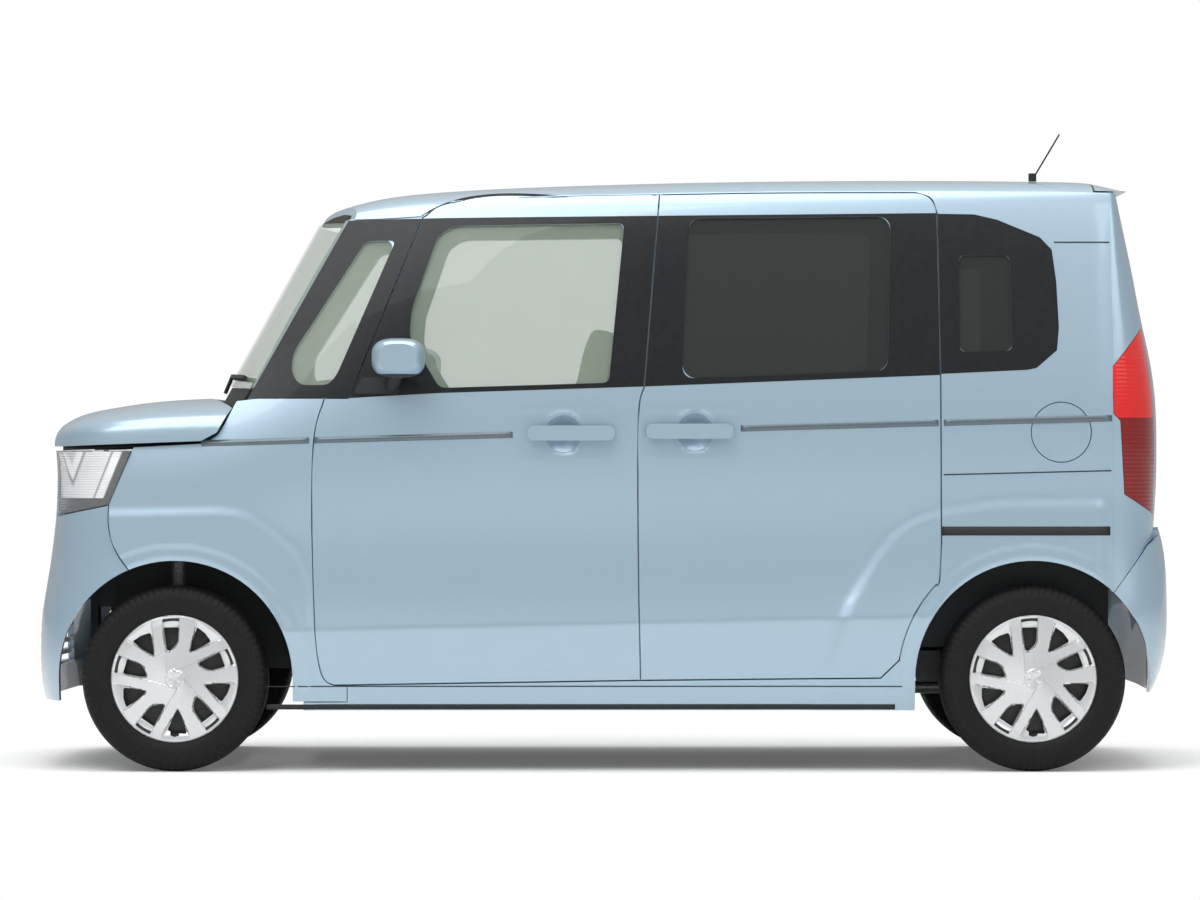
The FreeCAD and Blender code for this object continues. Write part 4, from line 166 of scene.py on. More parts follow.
KEYHOLE_STEPS = [(0.0, 0.0006), (0.0042, 0.0006), (0.0048, 0.0), (0.0048, -0.003)]  # (radius, height)
BONNET_SEAL, SEAL_DEPTH, SEAL_WIDTH = [(-1.600, 0.949), (-1.180, 0.9635)], 0.030, 0.012
CLADDING, CLADDING_WALL, CLADDING_PITCH, CREASE_ANGLE = 0.0024, 0.0022, 0.010, 32.0
FLARE_RISE, FLARE_FADE, LIP_WIDTH, LIP_RISE, LIP_FADE = 0.008, 0.045, 0.046, 0.0028, 0.006
RIM_DROP, RIM_WIDTH, POCKET_SKIN, POCKET_FADE = 0.004, 0.010, 0.0005, 0.012
CLADDING_END, END_FADE = 1.500, 0.05
PAINT_GAP, FENDER_GAP, LID_GAP = 0.0022, 0.0015, 0.0026
TRIM, TRIM_LIFT, TRIM_PITCH, TRIM_WALL = 0.0006, 0.0004, 0.020, 0.0008


# Places and formulas of the side

def along(station):
    if station < 0:
        return FRONT_AXLE + station * FRONT_OVERHANG
    return FRONT_AXLE + station * WHEELBASE if station <= 1 else REAR_AXLE + (station - 1) * REAR_OVERHANG


def spots(shares):
    return np.array([(along(s), h * ROOF_HEIGHT) for s, h in shares])


def curve(table, place):
    """Cubic between each two pairs of a table, its slopes taken from the neighbouring pairs."""
    x, y = np.array(table).T
    index = int(np.clip(np.searchsorted(x, place), 1, len(x) - 1))
    place = min(max(place, x[0]), x[-1])
    slopes = [(y[min(i + 1, len(x) - 1)] - y[max(i - 1, 0)]) / (x[min(i + 1, len(x) - 1)] - x[max(i - 1, 0)])
              for i in (index - 1, index)]
    span = x[index] - x[index - 1]
    t = (place - x[index - 1]) / span
    rise = t * t * (3 - 2 * t)
    return (y[index - 1] * (1 - rise) + y[index] * rise
            + span * (slopes[0] * t * (1 - t) ** 2 + slopes[1] * t * t * (t - 1)))


def ease(t):
    t = np.clip(t, 0.0, 1.0)
    return t * t * (3 - 2 * t)


def half_width(x, z, below):
    """Half width of the body: its section, narrowed to the screen, nose and tail, wider at the wheels."""
    width = HALF_WIDTH * curve(LOWER_SECTION if below else UPPER_SECTION, (z - RAKE * x) / ROOF_HEIGHT)
    level = (z - RAKE * x) / ROOF_HEIGHT
    if not below and level > CROWN_SHARE:
        rise = (level - CROWN_SHARE) * ROOF_HEIGHT
        part = min(rise / (ROOF_HEIGHT * CROWN_SPAN), 1.0)
        width = (HALF_WIDTH * CROWN_WIDTH - CROWN_SLOPE * rise) * (1 - part ** 3) ** (1 / 3)
    for axle in (FRONT_AXLE, REAR_AXLE):
        reach = ((abs(x - axle) / BLISTER_REACH) ** 3
                 + (max(z - TYRE_RADIUS, 0) / BLISTER_RISE) ** 3) ** (1 / 3)
        width += BLISTER * ease((1 - reach) / BLISTER_FADE)
    foot, low = along(SCREEN_FOOT[0]) + SCREEN_BOW, SCREEN_FOOT[1] * ROOF_HEIGHT - SCREEN_DROP
    top, high = along(SCREEN_TOP[0]) + SCREEN_BOW, SCREEN_TOP[1] * ROOF_HEIGHT - SCREEN_DROP
    edge = foot + (top - foot) * (z - low) / (high - low)
    inward = max(0.0, 1 - (x - edge) / SCREEN_REACH)
    sill = SCREEN_SILL * ROOF_HEIGHT
    width -= SCREEN_TUCK * min(inward, 1.3) ** 2 * ease((z - sill) / (SCREEN_FOOT[1] * ROOF_HEIGHT - sill))
    width -= TAIL_TUCK * max(0.0, (x - REAR_AXLE / 2) / REAR_AXLE) ** 2
    start = along(NOSE_START)
    if x < start:
        part = min((start - x) / (start - along(curve(NOSE_PROFILE, z / ROOF_HEIGHT))), 1.0)
        width *= (1 - part ** NOSE_POWER) ** (1 / NOSE_POWER)
    return width


def spline_weights(knots, places, degree=3):
    """Weights of a clamped spline's steering points at some places, by the Cox and de Boor formula."""
    full = np.array([knots[0]] * degree + list(knots) + [knots[-1]] * degree)
    places = np.clip(places, knots[0], knots[-1] - 1e-9)[:, None]
    weights = ((places >= full[:-1]) & (places < full[1:])).astype(float)
    for d in range(1, degree + 1):
        first, last = full[d:-1] - full[:-d - 1], full[d + 1:] - full[1:-d]
        rising = np.where(first > 0, (places - full[:-d - 1]) / np.where(first > 0, first, 1), 0)
        falling = np.where(last > 0, (full[d + 1:] - places) / np.where(last > 0, last, 1), 0)
        weights = rising * weights[:, :-1] + falling * weights[:, 1:]
    return weights


def steering_places(knots, degree=3):
    full = [knots[0]] * degree + list(knots) + [knots[-1]] * degree
    return [sum(full[i + 1:i + degree + 1]) / degree for i in range(len(full) - degree - 1)]


SKIN_X = [along(s) for s in SKIN_STATIONS]
SKIN_BANDS = []
for shares, below in ((LOWER_LEVELS, True), (UPPER_LEVELS, False)):
    levels = [share * ROOF_HEIGHT for share in shares]
    net = [[half_width(x, level + RAKE * x, below) for level in steering_places(levels)]
           for x in steering_places(SKIN_X)]
    SKIN_BANDS.append((levels, np.array(net)))


def bare_width(x, z):
    """Half width of the shell: two smooth bands that meet at the foot crease."""
    level = z - RAKE * x
    across = spline_weights(SKIN_X, x)
    widths = [np.einsum("ni,ij,nj->n", across, net, spline_weights(levels, level))
              for levels, net in SKIN_BANDS]
    return np.where(level < CREASE_SHARE * ROOF_HEIGHT, widths[0], widths[1])


def distance_to(points, x, z):
    """Distance from each place to a run of straight lines, and the side it lies on."""
    points = np.asarray(points, float)
    best, side = np.full(len(x), 1e9), np.zeros(len(x))
    for (ax, az), (bx, bz) in zip(points[:-1], points[1:]):
        ux, uz = bx - ax, bz - az
        t = np.clip(((x - ax) * ux + (z - az) * uz) / (ux * ux + uz * uz), 0, 1)
        away = np.hypot(x - ax - t * ux, z - az - t * uz)
        near = away < best - 1e-9
        best = np.where(near, away, best)
        side = np.where(near, np.sign(ux * (z - az) - uz * (x - ax)), side)
    return best, side


def stand_out(x, z):
    """How far the cladding stands out from the shell: flares and lips over the wheels, and the
    bowls and pockets behind the handles."""
    end = ease((CLADDING_END - x) / END_FADE)
    stand = CLADDING * end
    for flare in (FRONT_FLARE, REAR_FLARE):
        away, side = distance_to(flare, x, z)
        stand = stand + FLARE_RISE * ease(np.where(side < 0, away, 0) / FLARE_FADE) * end
    for axle in (FRONT_AXLE, REAR_AXLE):
        ring = np.where(z > TYRE_RADIUS, np.hypot(x - axle, z - TYRE_RADIUS), np.abs(x - axle))
        stand = stand - LIP_RISE * ease((ARCH_RADIUS + LIP_WIDTH - ring) / LIP_FADE)
        stand = stand - RIM_DROP * ease((ARCH_RADIUS + RIM_WIDTH - ring) / RIM_WIDTH)
    for x0, x1, z0, z1 in HANDLE_POCKETS:
        edge = np.minimum(np.minimum(x - x0, x1 - x), np.minimum(z - z0, z1 - z))
        stand = stand - (CLADDING - POCKET_SKIN) * ease(edge / POCKET_FADE)
    ball = (BOWL_RADIUS ** 2 + BOWL_DEPTH ** 2) / (2 * BOWL_DEPTH)
    for place in (DOOR_BOWL, SLIDER_BOWL):
        (cx, cz), = spots([place])
        far = np.hypot(x - cx, z - cz)
        deep = np.sqrt(np.maximum(ball ** 2 - far ** 2, 0)) - (ball - BOWL_DEPTH)
        stand = stand - np.where(far < BOWL_RADIUS, np.maximum(deep, 0), 0)
    return stand


def side_points(x, z, side, lift=0.0):
    """Places on the cladding of one side."""
    x, z = np.asarray(x, float), np.asarray(z, float)
    return np.stack([x, side * (bare_width(x, z) + stand_out(x, z) + lift), z], 1)


# Outlines in the side view

def smooth_run(points, count=24):
    """Smooth curve through a run of points: a cubic between each two."""
    points = np.asarray(points, float)
    if len(points) < 3:
        return points
    fine = np.linspace(0, len(points) - 1, (len(points) - 1) * count + 1)
    i = np.clip(fine.astype(int), 0, len(points) - 2)
    f = (fine - i)[:, None]
    slopes = np.gradient(points, axis=0)
    h = f * f * (3 - 2 * f)
    return (points[i] * (1 - h) + points[i + 1] * h + slopes[i] * f * (1 - f) ** 2
            + slopes[i + 1] * f * f * (f - 1))


def loop_of(*runs):
    return np.concatenate([smooth_run(run) for run in runs])


def arch_points(axle, radius, first, last, count=40):
    turn = np.radians(np.linspace(first, last, count))
    return np.stack([axle + radius * np.cos(turn), TYRE_RADIUS + radius * np.sin(turn)], 1)


def spaced(loop, pitch):
    """A closed outline with points no further apart than a pitch, its corners kept."""
    loop = np.asarray(loop, float)
    keep = np.linalg.norm(loop - np.roll(loop, 1, 0), axis=1) > 1e-5
    loop = loop[keep]
    ahead = np.roll(loop, -1, 0)
    counts = np.maximum(np.ceil(np.linalg.norm(ahead - loop, axis=1) / pitch).astype(int), 1)
    start = np.repeat(loop, counts, 0)
    reach = np.repeat(ahead - loop, counts, 0)
    step = np.arange(counts.sum()) - np.repeat(np.cumsum(counts) - counts, counts)
    return start + reach * (step / np.repeat(counts, counts))[:, None]


def grown_loop(loop, gap):
    """A closed outline moved outwards by a gap, square to its own line."""
    loop = spaced(loop, TRIM_PITCH)
    area = np.sum(loop[:, 0] * np.roll(loop[:, 1], -1) - loop[:, 1] * np.roll(loop[:, 0], -1))
    tangent = np.roll(loop, -1, 0) - np.roll(loop, 1, 0)
    tangent /= np.linalg.norm(tangent, axis=1)[:, None]
    return loop + np.stack([tangent[:, 1], -tangent[:, 0]], 1) * gap * np.sign(area)


def rounded_loop(points, radius, count=8):
    """A polygon with its corners rounded by a quadratic bend."""
    points = np.asarray(points, float)
    back, ahead = np.roll(points, 1, 0) - points, np.roll(points, -1, 0) - points
    lengths = [np.linalg.norm(way, axis=1)[:, None] for way in (back, ahead)]
    trims = [np.minimum(radius, length * 0.45) / length for length in lengths]
    start, end = points + back * trims[0], points + ahead * trims[1]
    t = np.linspace(0, 1, count)[None, :, None]
    bends = start[:, None] * (1 - t) ** 2 + points[:, None] * 2 * t * (1 - t) + end[:, None] * t ** 2
    return bends.reshape(-1, 2)


def within(loop, x, z):
    """Whether each place is inside a closed outline, by counting the lines it is left of."""
    inside = np.zeros(len(x), bool)
    for (ax, az), (bx, bz) in zip(loop, np.roll(loop, -1, 0)):
        if az == bz:
            continue
        spans = (az > z) != (bz > z)
        inside ^= spans & (x < ax + (z - az) * (bx - ax) / (bz - az))
    return inside


def door_loop():
    top, rear, front = spots(DOOR_TOP), spots(DOOR_REAR), spots(DOOR_FRONT)
    return loop_of(top, rear, front, spots(DOOR_SHOULDER))


def slider_loop():
    rear = spots(SLIDER_REAR)
    arch = arch_points(REAR_AXLE, ARCH_RADIUS + SLIDER_ARCH_GAP, *SLIDER_ARCH_DEGREES, 20)
    arch = np.concatenate([rear[-1:], arch])
    return loop_of(spots(SLIDER_TOP), spots(SLIDER_CORNER), rear, arch, spots(SLIDER_FOOT),
                   spots(DOOR_REAR)[::-1])


def fender_loop():
    top, lamp, bumper, front = spots(FENDER_TOP), spots(FENDER_LAMP), spots(BUMPER_SEAM), spots(DOOR_FRONT)
    tip, foot = along(FENDER_TIP[0]), FENDER_TIP[1] * ROOF_HEIGHT
    return loop_of(lamp[1:], top[1:], spots(PILLAR_FOOT), front[::-1],
                   [(tip, front[0][1]), (tip, foot)], [(FRONT_AXLE, foot)], bumper)


def side_loop():
    foot, end = SHELL_FOOT * ROOF_HEIGHT, SKIN_X[-1] - 0.001
    corner, step = along(SHELL_CORNER[0]), SHELL_CORNER[1]
    roof, pillar = spots(ROOF_SEAM), spots(PILLAR_EDGE)
    pillar[:2, 0] -= SCREEN_BOW
    lower = [(roof[0][0], foot), (corner, foot), (corner, step), (end, step), (end, roof[-1][1])]
    return np.concatenate([lower, roof[::-1][1:], pillar])


def arch_loop(axle, radius=ARCH_RADIUS):
    return np.concatenate([arch_points(axle, radius, 0, 180), [(axle - radius, 0), (axle + radius, 0)]])


def patch(keep, cuts, pitch=CLADDING_PITCH):
    """Flat mesh in the side view: inside every outline to keep and outside every cut. The outlines'
    own points and an even grid between them are joined into triangles."""
    loops = [spaced(loop, pitch) for loop in keep + cuts]
    low, high = keep[0].min(0), keep[0].max(0)
    gx, gz = np.meshgrid(np.arange(low[0], high[0], pitch), np.arange(low[1], high[1], pitch))
    gx = gx + (np.arange(len(gx)) % 2 * pitch / 2)[:, None]
    gx, gz = gx.ravel(), gz.ravel()

    def wanted(x, z):
        good = np.ones(len(x), bool)
        for loop in keep:
            good &= within(loop, x, z)
        for loop in cuts:
            good &= ~within(loop, x, z)
        return good

    good = wanted(gx, gz)
    for loop in loops:
        away, _ = distance_to(np.concatenate([loop, loop[:1]]), gx, gz)
        good &= away > pitch * 0.4
    points = np.concatenate(loops + [np.stack([gx[good], gz[good]], 1)])
    edges, start = [], 0
    for loop in loops:
        count = len(loop)
        edges += [(start + i, start + (i + 1) % count) for i in range(count)]
        start += count
    found = delaunay_2d_cdt([Vector(point) for point in points.tolist()], edges, [], 0, 1e-7)
    places = np.array([tuple(point) for point in found[0]])
    faces = np.array(found[2])
    middle = places[faces].mean(1)
    faces = faces[wanted(middle[:, 0], middle[:, 1])]
    used, index = np.unique(faces, return_inverse=True)
    return places[used], index.reshape(faces.shape)


def cladding(name, body, side, keep, cuts, material, lift=0.0, thick=CLADDING_WALL):
    """A skin over part of one side: the flat patch laid on the cladding's surface."""
    places, faces = patch(keep, cuts)
    if side > 0:
        faces = faces[:, ::-1]
    obj = piece(name, side_points(places[:, 0], places[:, 1], side, lift), faces, body, material)
    wall = obj.modifiers.new("wall", "SOLIDIFY")
    wall.thickness, wall.offset = thick, -1
    split = obj.modifiers.new("edges", "EDGE_SPLIT")
    split.split_angle = math.radians(CREASE_ANGLE)
    return obj


def seal_lift(x):
    """How far the seal under the bonnet's edge stands out: set in by its depth, and further where
    the nose rounds off ahead of the first station by |part|^3.2."""
    start, tip = along(NOSE_START), along(curve(NOSE_PROFILE, BONNET_SEAL[0][1] / ROOF_HEIGHT))
    left, whole = [(1 - np.clip((start - place) / (start - tip), 0, 1) ** NOSE_POWER) ** (1 / NOSE_POWER)
                   for place in (x, np.maximum(x, SKIN_X[0]))]
    return -SEAL_DEPTH - HALF_WIDTH * (1 - left / whole)


def ribbon(name, body, side, path, width, material, lift=TRIM_LIFT):
    """A narrow strip laid along a path on the side: the path moved up and down by half its width.
    Its lift is a length, or a function of the places along the car."""
    path = np.asarray(path, float)
    fine = np.linspace(0, 1, max(int(np.ptp(path[:, 0]) / TRIM_PITCH), 2) + len(path))
    far = np.r_[0, np.cumsum(np.linalg.norm(np.diff(path, axis=0), axis=1))]
    x, z = np.interp(fine * far[-1], far, path[:, 0]), np.interp(fine * far[-1], far, path[:, 1])
    way = np.stack([np.gradient(x), np.gradient(z)], 1)
    way /= np.linalg.norm(way, axis=1)[:, None]
    lift = lift(x) if callable(lift) else lift
    rows = [side_points(x - way[:, 1] * o, z + way[:, 0] * o, side, lift) for o in
            np.linspace(-width / 2, width / 2, 3)]
    faces = grid_faces(3, len(x))
    if side > 0:
        faces = faces[:, ::-1]
    obj = piece(name, np.concatenate(rows), faces[:, ::-1], body, material)
    wall = obj.modifiers.new("wall", "SOLIDIFY")
    wall.thickness, wall.offset = TRIM_WALL, -1
    return obj


def piece(name, vertices, faces, body, material):
    """A smooth mesh object from arrays of corners and of faces; it rides on a body."""
    mesh = bpy.data.meshes.new(name)
    mesh.from_pydata(np.asarray(vertices, float).reshape(-1, 3).tolist(), [], faces.tolist())
    mesh.update()
    obj = bpy.data.objects.new(name, mesh)
    bpy.context.scene.collection.objects.link(obj)
    mesh.materials.append(material)
    mesh.polygons.foreach_set("use_smooth", np.ones(len(mesh.polygons), bool))
    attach(obj, body)
    return obj


def grid_faces(rows, columns, closed_rows=False, closed_columns=False):
    """Quads of a grid of rows by columns; a closed direction joins its last to its first."""
    r = np.arange(rows if closed_rows else rows - 1)
    c = np.arange(columns if closed_columns else columns - 1)
    r, c = [a.ravel() for a in np.meshgrid(r, c, indexing="ij")]
    r2, c2 = (r + 1) % rows, (c + 1) % columns
    return np.stack([r * columns + c, r * columns + c2, r2 * columns + c2, r2 * columns + c], 1)


def outwards(obj):
    """Merges doubles and turns every face of a closed piece outwards."""
    bm = bmesh.new()
    bm.from_mesh(obj.data)
    bmesh.ops.remove_doubles(bm, verts=bm.verts, dist=1e-6)
    bmesh.ops.recalc_face_normals(bm, faces=bm.faces)
    bm.to_mesh(obj.data)
    bm.free()
    return obj


# Finishes

def finish(name, color, roughness=0.5, metallic=0.0, coat=0.0, alpha=1.0, **sockets):
    """Principled material; returns (material, nodes, links, shader, output)."""
    material = bpy.data.materials.new(name)
    material.use_nodes = True
    nodes, links = material.node_tree.nodes, material.node_tree.links
    shader = nodes["Principled BSDF"]
    shader.inputs["Base Color"].default_value = (*color, 1)
    shader.inputs["Roughness"].default_value = roughness
    shader.inputs["Metallic"].default_value = metallic
    shader.inputs["Coat Weight"].default_value = coat
    shader.inputs["Coat Roughness"].default_value = 0.03
    shader.inputs["Alpha"].default_value = alpha
    for socket, value in sockets.items():
        shader.inputs[socket.replace("_", " ")].default_value = value
    return material, nodes, links, shader


def wire(links, *pairs):
    for source, target in pairs:
        links.new(source, target)


def made(nodes, *kinds):
    return [nodes.new("ShaderNode" + kind) for kind in kinds]


def noise_on(nodes, links, scale):
    """Noise in the piece's own coordinates."""
    place, noise = made(nodes, "TexCoord", "TexNoise")
    noise.inputs["Scale"].default_value = scale
    noise.inputs["Detail"].default_value = 3.0
    links.new(place.outputs["Object"], noise.inputs["Vector"])
    return noise


def tint(nodes, links, shader, factor, dark, light):
    """Base colour between two colours by a factor."""
    ramp = nodes.new("ShaderNodeValToRGB")
    ramp.color_ramp.elements[0].color = (*dark, 1)
    ramp.color_ramp.elements[1].color = (*light, 1)
    ramp.color_ramp.elements[0].position = 0.3
    ramp.color_ramp.elements[1].position = 0.7
    links.new(factor, ramp.inputs["Fac"])
    links.new(ramp.outputs["Color"], shader.inputs["Base Color"])


def relief(nodes, links, shader, height, strength, distance):
    bump = nodes.new("ShaderNodeBump")
    bump.inputs["Strength"].default_value = strength
    bump.inputs["Distance"].default_value = distance
    links.new(height, bump.inputs["Height"])
    links.new(bump.outputs["Normal"], shader.inputs["Normal"])


def speckled(name, dark, light, scale, roughness, metallic=0.0, coat=0.0, bump=0.0, **sockets):
    """A finish whose colour wanders between two tones, with a fine relief."""
    material, nodes, links, shader = finish(name, light, roughness, metallic, coat, **sockets)
    noise = noise_on(nodes, links, scale)
    tint(nodes, links, shader, noise.outputs["Fac"], dark, light)
    if bump:
        relief(nodes, links, shader, noise.outputs["Fac"], bump, 0.0005)
    return material


def lamp_red(name, bright, deep, level):
    """Red lens: bright above a level in the piece's own Z, deeper below it, ribbed like a prism."""
    material, nodes, links, shader = finish(name, bright, 0.14, coat=0.5)
    place, split, above, ribs = made(nodes, "TexCoord", "SeparateXYZ", "Math", "TexWave")
    above.operation, above.inputs[1].default_value = "GREATER_THAN", level
    ribs.bands_direction, ribs.inputs["Scale"].default_value = "Z", TAIL_RIBS
    wire(links, (place.outputs["Object"], split.inputs[0]), (place.outputs["Object"], ribs.inputs["Vector"]),
         (split.outputs["Z"], above.inputs[0]))
    tint(nodes, links, shader, above.outputs[0], deep, bright)
    relief(nodes, links, shader, ribs.outputs["Fac"], 0.25, 0.001)
    return material


# The headlamp, seen from the side: chambers as (share of the way from its front to its rear edge, brightness)
LAMP_FRONT, LAMP_REAR, LAMP_HEAD, LAMP_SLANT, LAMP_FOOT = -1.660, -1.375, 0.954, 0.418, 0.803
LAMP_CORNER, LAMP_TURN = 0.620, 3.4
LAMP_CHAMBERS = [(0.0, 0.10), (0.13, 0.14), (0.17, 0.50), (0.40, 0.62), (0.43, 0.95), (0.48, 0.95),
                 (0.50, 0.20), (0.53, 0.78), (0.78, 0.90), (0.80, 0.22), (0.82, 0.95), (0.89, 0.95),
                 (0.91, 0.015), (1.0, 0.015)]
LAMP_RIBS, LAMP_INSET = 42.0, 0.009
TAIL_SPLIT, TAIL_RIBS = 1.040, 26.0


def lamp_chambers(name):
    """Bright reflector: the slanted way back, plus the way inwards round the corner, runs through a
    ramp of dark end, ribbed chamber, divider, reflector, white bar and black frame."""
    material, nodes, links, shader = finish(name, (0.82, 0.83, 0.84), 0.22, 0.6)
    place, split, ramp, ribs = made(nodes, "TexCoord", "SeparateXYZ", "ValToRGB", "TexWave")
    links.new(place.outputs["Object"], split.inputs[0])

    def sum_of(operation, first, second, third=0.0):
        node = nodes.new("ShaderNodeMath")
        node.operation = operation
        for socket, value in zip(node.inputs, (first, second, third)):
            if isinstance(value, float):
                socket.default_value = value
            else:
                links.new(value, socket)
        return node.outputs[0]

    length = LAMP_REAR - LAMP_FRONT
    upright = sum_of("MULTIPLY_ADD", split.outputs["Z"], -LAMP_SLANT, LAMP_SLANT * LAMP_HEAD - LAMP_FRONT)
    back = sum_of("DIVIDE", sum_of("ADD", split.outputs["X"], upright), length)
    inward = sum_of("SUBTRACT", LAMP_CORNER, sum_of("ABSOLUTE", split.outputs["Y"], 0.0))
    way = sum_of("MULTIPLY_ADD", sum_of("MAXIMUM", inward, 0.0), LAMP_TURN, back)
    way = sum_of("MAXIMUM", way, sum_of("LESS_THAN", split.outputs["Z"], LAMP_FOOT))
    stops = ramp.color_ramp.elements
    for stop, (share, value) in zip((stops[0], stops[1]), (LAMP_CHAMBERS[0], LAMP_CHAMBERS[-1])):
        stop.position, stop.color = share, (value, value, value, 1)
    for share, value in LAMP_CHAMBERS[1:-1]:
        stops.new(share).color = (value, value, value * 1.02, 1)
    ribs.bands_direction, ribs.inputs["Scale"].default_value = "Z", LAMP_RIBS
    wire(links, (way, ramp.inputs["Fac"]), (ramp.outputs["Color"], shader.inputs["Base Color"]),
         (place.outputs["Object"], ribs.inputs["Vector"]))
    relief(nodes, links, shader, ribs.outputs["Fac"], 0.5, 0.002)
    return material


def shade(color, factor):
    return tuple(min(max(c * factor, 0), 1) for c in color)


FINISHES = {}


def make_finishes(colours):
    paint = tuple(colours.paint)
    black, grey = tuple(colours.black_trim), tuple(colours.cabin)
    glass, privacy = tuple(colours.front_glass), tuple(colours.rear_glass)
    FINISHES.update(
        paint=speckled("pale blue paint", shade(paint, 0.93), paint, 900.0, 0.36, 0.55, 0.7),
        underbody=speckled("dark primer", shade(paint, 0.05), shade(paint, 0.09), 20.0, 0.7, bump=0.1),
        # painted shade: body paint darkened to about a quarter, laid as a strip where the belt step's
        # overhang casts shade
        belt=speckled("shaded belt step", shade(paint, 0.22), shade(paint, 0.30), 300.0, 0.35, 0.35, 0.6),
        black=speckled("gloss black trim", shade(black, 0.8), shade(black, 1.2), 60.0, 0.30, coat=0.12,
                       Specular_IOR_Level=0.25),
        plastic=speckled("grained black plastic", shade(black, 0.7), shade(black, 1.1), 700.0, 0.6, bump=0.3),
        silver=speckled("silver lacquer", (0.60, 0.61, 0.62), (0.74, 0.75, 0.76), 500.0, 0.3, 0.55, 0.4),
        chrome=speckled("bright chrome", (0.80, 0.81, 0.82), (0.92, 0.92, 0.93), 30.0, 0.08, 1.0),
        cabin=speckled("grained cabin plastic", shade(grey, 0.85), grey, 900.0, 0.65, bump=0.4),
        cloth=speckled("woven seat cloth", shade(tuple(colours.seats), 0.8), tuple(colours.seats), 700.0, 0.9,
                       bump=0.8, Sheen_Weight=0.3),
        machinery=speckled("cast metal", (0.10, 0.10, 0.105), (0.20, 0.20, 0.21), 90.0, 0.55, 0.7, bump=0.4),
        enamel=speckled("black enamel", (0.012, 0.012, 0.013), (0.03, 0.03, 0.032), 80.0, 0.45, bump=0.1),
        exhaust=speckled("dull steel", (0.30, 0.29, 0.27), (0.45, 0.44, 0.42), 60.0, 0.4, 0.9, bump=0.1),
        rubber=speckled("tyre rubber", (0.003, 0.003, 0.0035), (0.008, 0.008, 0.009), 150.0, 0.62, bump=0.2,
                        Specular_IOR_Level=0.25),
        red=lamp_red("red lens", (0.66, 0.014, 0.012), (0.20, 0.004, 0.005), TAIL_SPLIT),
        chambers=lamp_chambers("lamp chambers"),
        front_glass=finish("light green glass", glass, 0.02, alpha=colours.front_glass_strength,
                           Specular_IOR_Level=0.6)[0],
        rear_glass=finish("privacy glass", privacy, 0.02, alpha=colours.rear_glass_strength,
                          Specular_IOR_Level=0.6)[0],
        lens=finish("clear lens", (0.80, 0.84, 0.86), 0.02, alpha=0.16, Specular_IOR_Level=0.7)[0],
    )


NODE_FINISH = {
    "inner_body": "underbody", "front_frame": "underbody", "front_wheel_housings": "plastic",
    "rear_wheel_housings": "plastic", "cowl_panel": "plastic", "front_wipers": "plastic",
    "rear_wiper": "plastic", "antenna": "plastic", "dashboard": "cabin", "engine_block": "machinery",
    "fuel_tank": "plastic", "exhaust": "exhaust", "rear_axle": "enamel", "front_subframe": "enamel",
    "steering_wheel": "plastic", "windscreen": "front_glass", "side_windows": "rear_glass",
    "tailgate_glass": "rear_glass", "headlamps": "lens", "tail_lamps": "red", "front_grille": "chrome",
    "front_seats": "cloth", "rear_seats": "cloth",
}
PREFIX_FINISH = {"tyre": "rubber", "wheel_cover": "silver", "wheel_": "enamel", "knuckle": "machinery",
                 "door_glass": "front_glass"}


def finish_of(node):
    if node in NODE_FINISH:
        return FINISHES[NODE_FINISH[node]]
    for prefix, name in PREFIX_FINISH.items():
        if node.startswith(prefix):
            return FINISHES[name]
    return FINISHES["paint"]


# What a user may change

class KeiCarSizes(bpy.types.PropertyGroup):
    # painted shade: height of the dark strip laid under the belt step in place of its shadow
    belt: bpy.props.FloatProperty(name="Belt step", description="Height of the painted shade strip under the step below the windows",
                                  default=0.018, unit="LENGTH")
    slide_slot: bpy.props.FloatProperty(name="Slide slot", description="Height of the sliding door's slot",
                                        default=0.026, unit="LENGTH")


def colour(name, description, default):
    return bpy.props.FloatVectorProperty(name=name, description=description, default=default,
                                         subtype="COLOR", min=0, max=1)


def strength(name, default):
    return bpy.props.FloatProperty(name=name, description="How much it hides", default=default, min=0, max=1)


class KeiCarColours(bpy.types.PropertyGroup):
    paint: colour("Paint", "Pale metallic body paint", (0.37, 0.50, 0.60))
    black_trim: colour("Black trim", "Band round the windows", (0.010, 0.012, 0.014))
    cabin: colour("Cabin", "Cabin plastics", (0.42, 0.40, 0.36))
    seats: colour("Seats", "Seat cloth", (0.34, 0.31, 0.27))
    front_glass: colour("Front glass", "Tint of the front glass", (0.40, 0.50, 0.40))
    front_glass_strength: strength("Front glass strength", 0.26)
    rear_glass: colour("Privacy glass", "Tint of the rear glass", (0.020, 0.026, 0.023))
    rear_glass_strength: strength("Privacy glass strength", 0.70)


# Operators

PANELS = {  # nodes to smooth, and whether their inward faces take the cabin's trim
    "body_side_left": True, "body_side_right": True, "roof_panel": True, "front_fenders": True,
    "front_bumper": False, "rear_bumper": False, "sliding_doors": True, "bonnet": True, "tailgate": True,
    "door_left": True, "door_right": True, "fuel_lid": False, "windscreen": False, "tail_lamps": False,
    "front_grille": False, "cowl_panel": False, "steering_wheel": False, "mirror_left": False,
    "mirror_right": False, "door_handle_left": False, "door_handle_right": False,
    "sliding_door_handles": False, "side_windows": False, "door_glass_left": False,
    "door_glass_right": False, "tailgate_glass": False, "dashboard": False,
}
DOUBLES, INWARD, HANDLE_EDGE = 2e-5, -0.3, 0.004
FENDER_INSIDE, ARCH_TRIM, GATE_INSIDE = (-0.86, 0.62), 0.06, 1.62
QUARTER_END, MIRROR_FOOT, MIRROR_ARM = -0.55, 1.166, 0.745


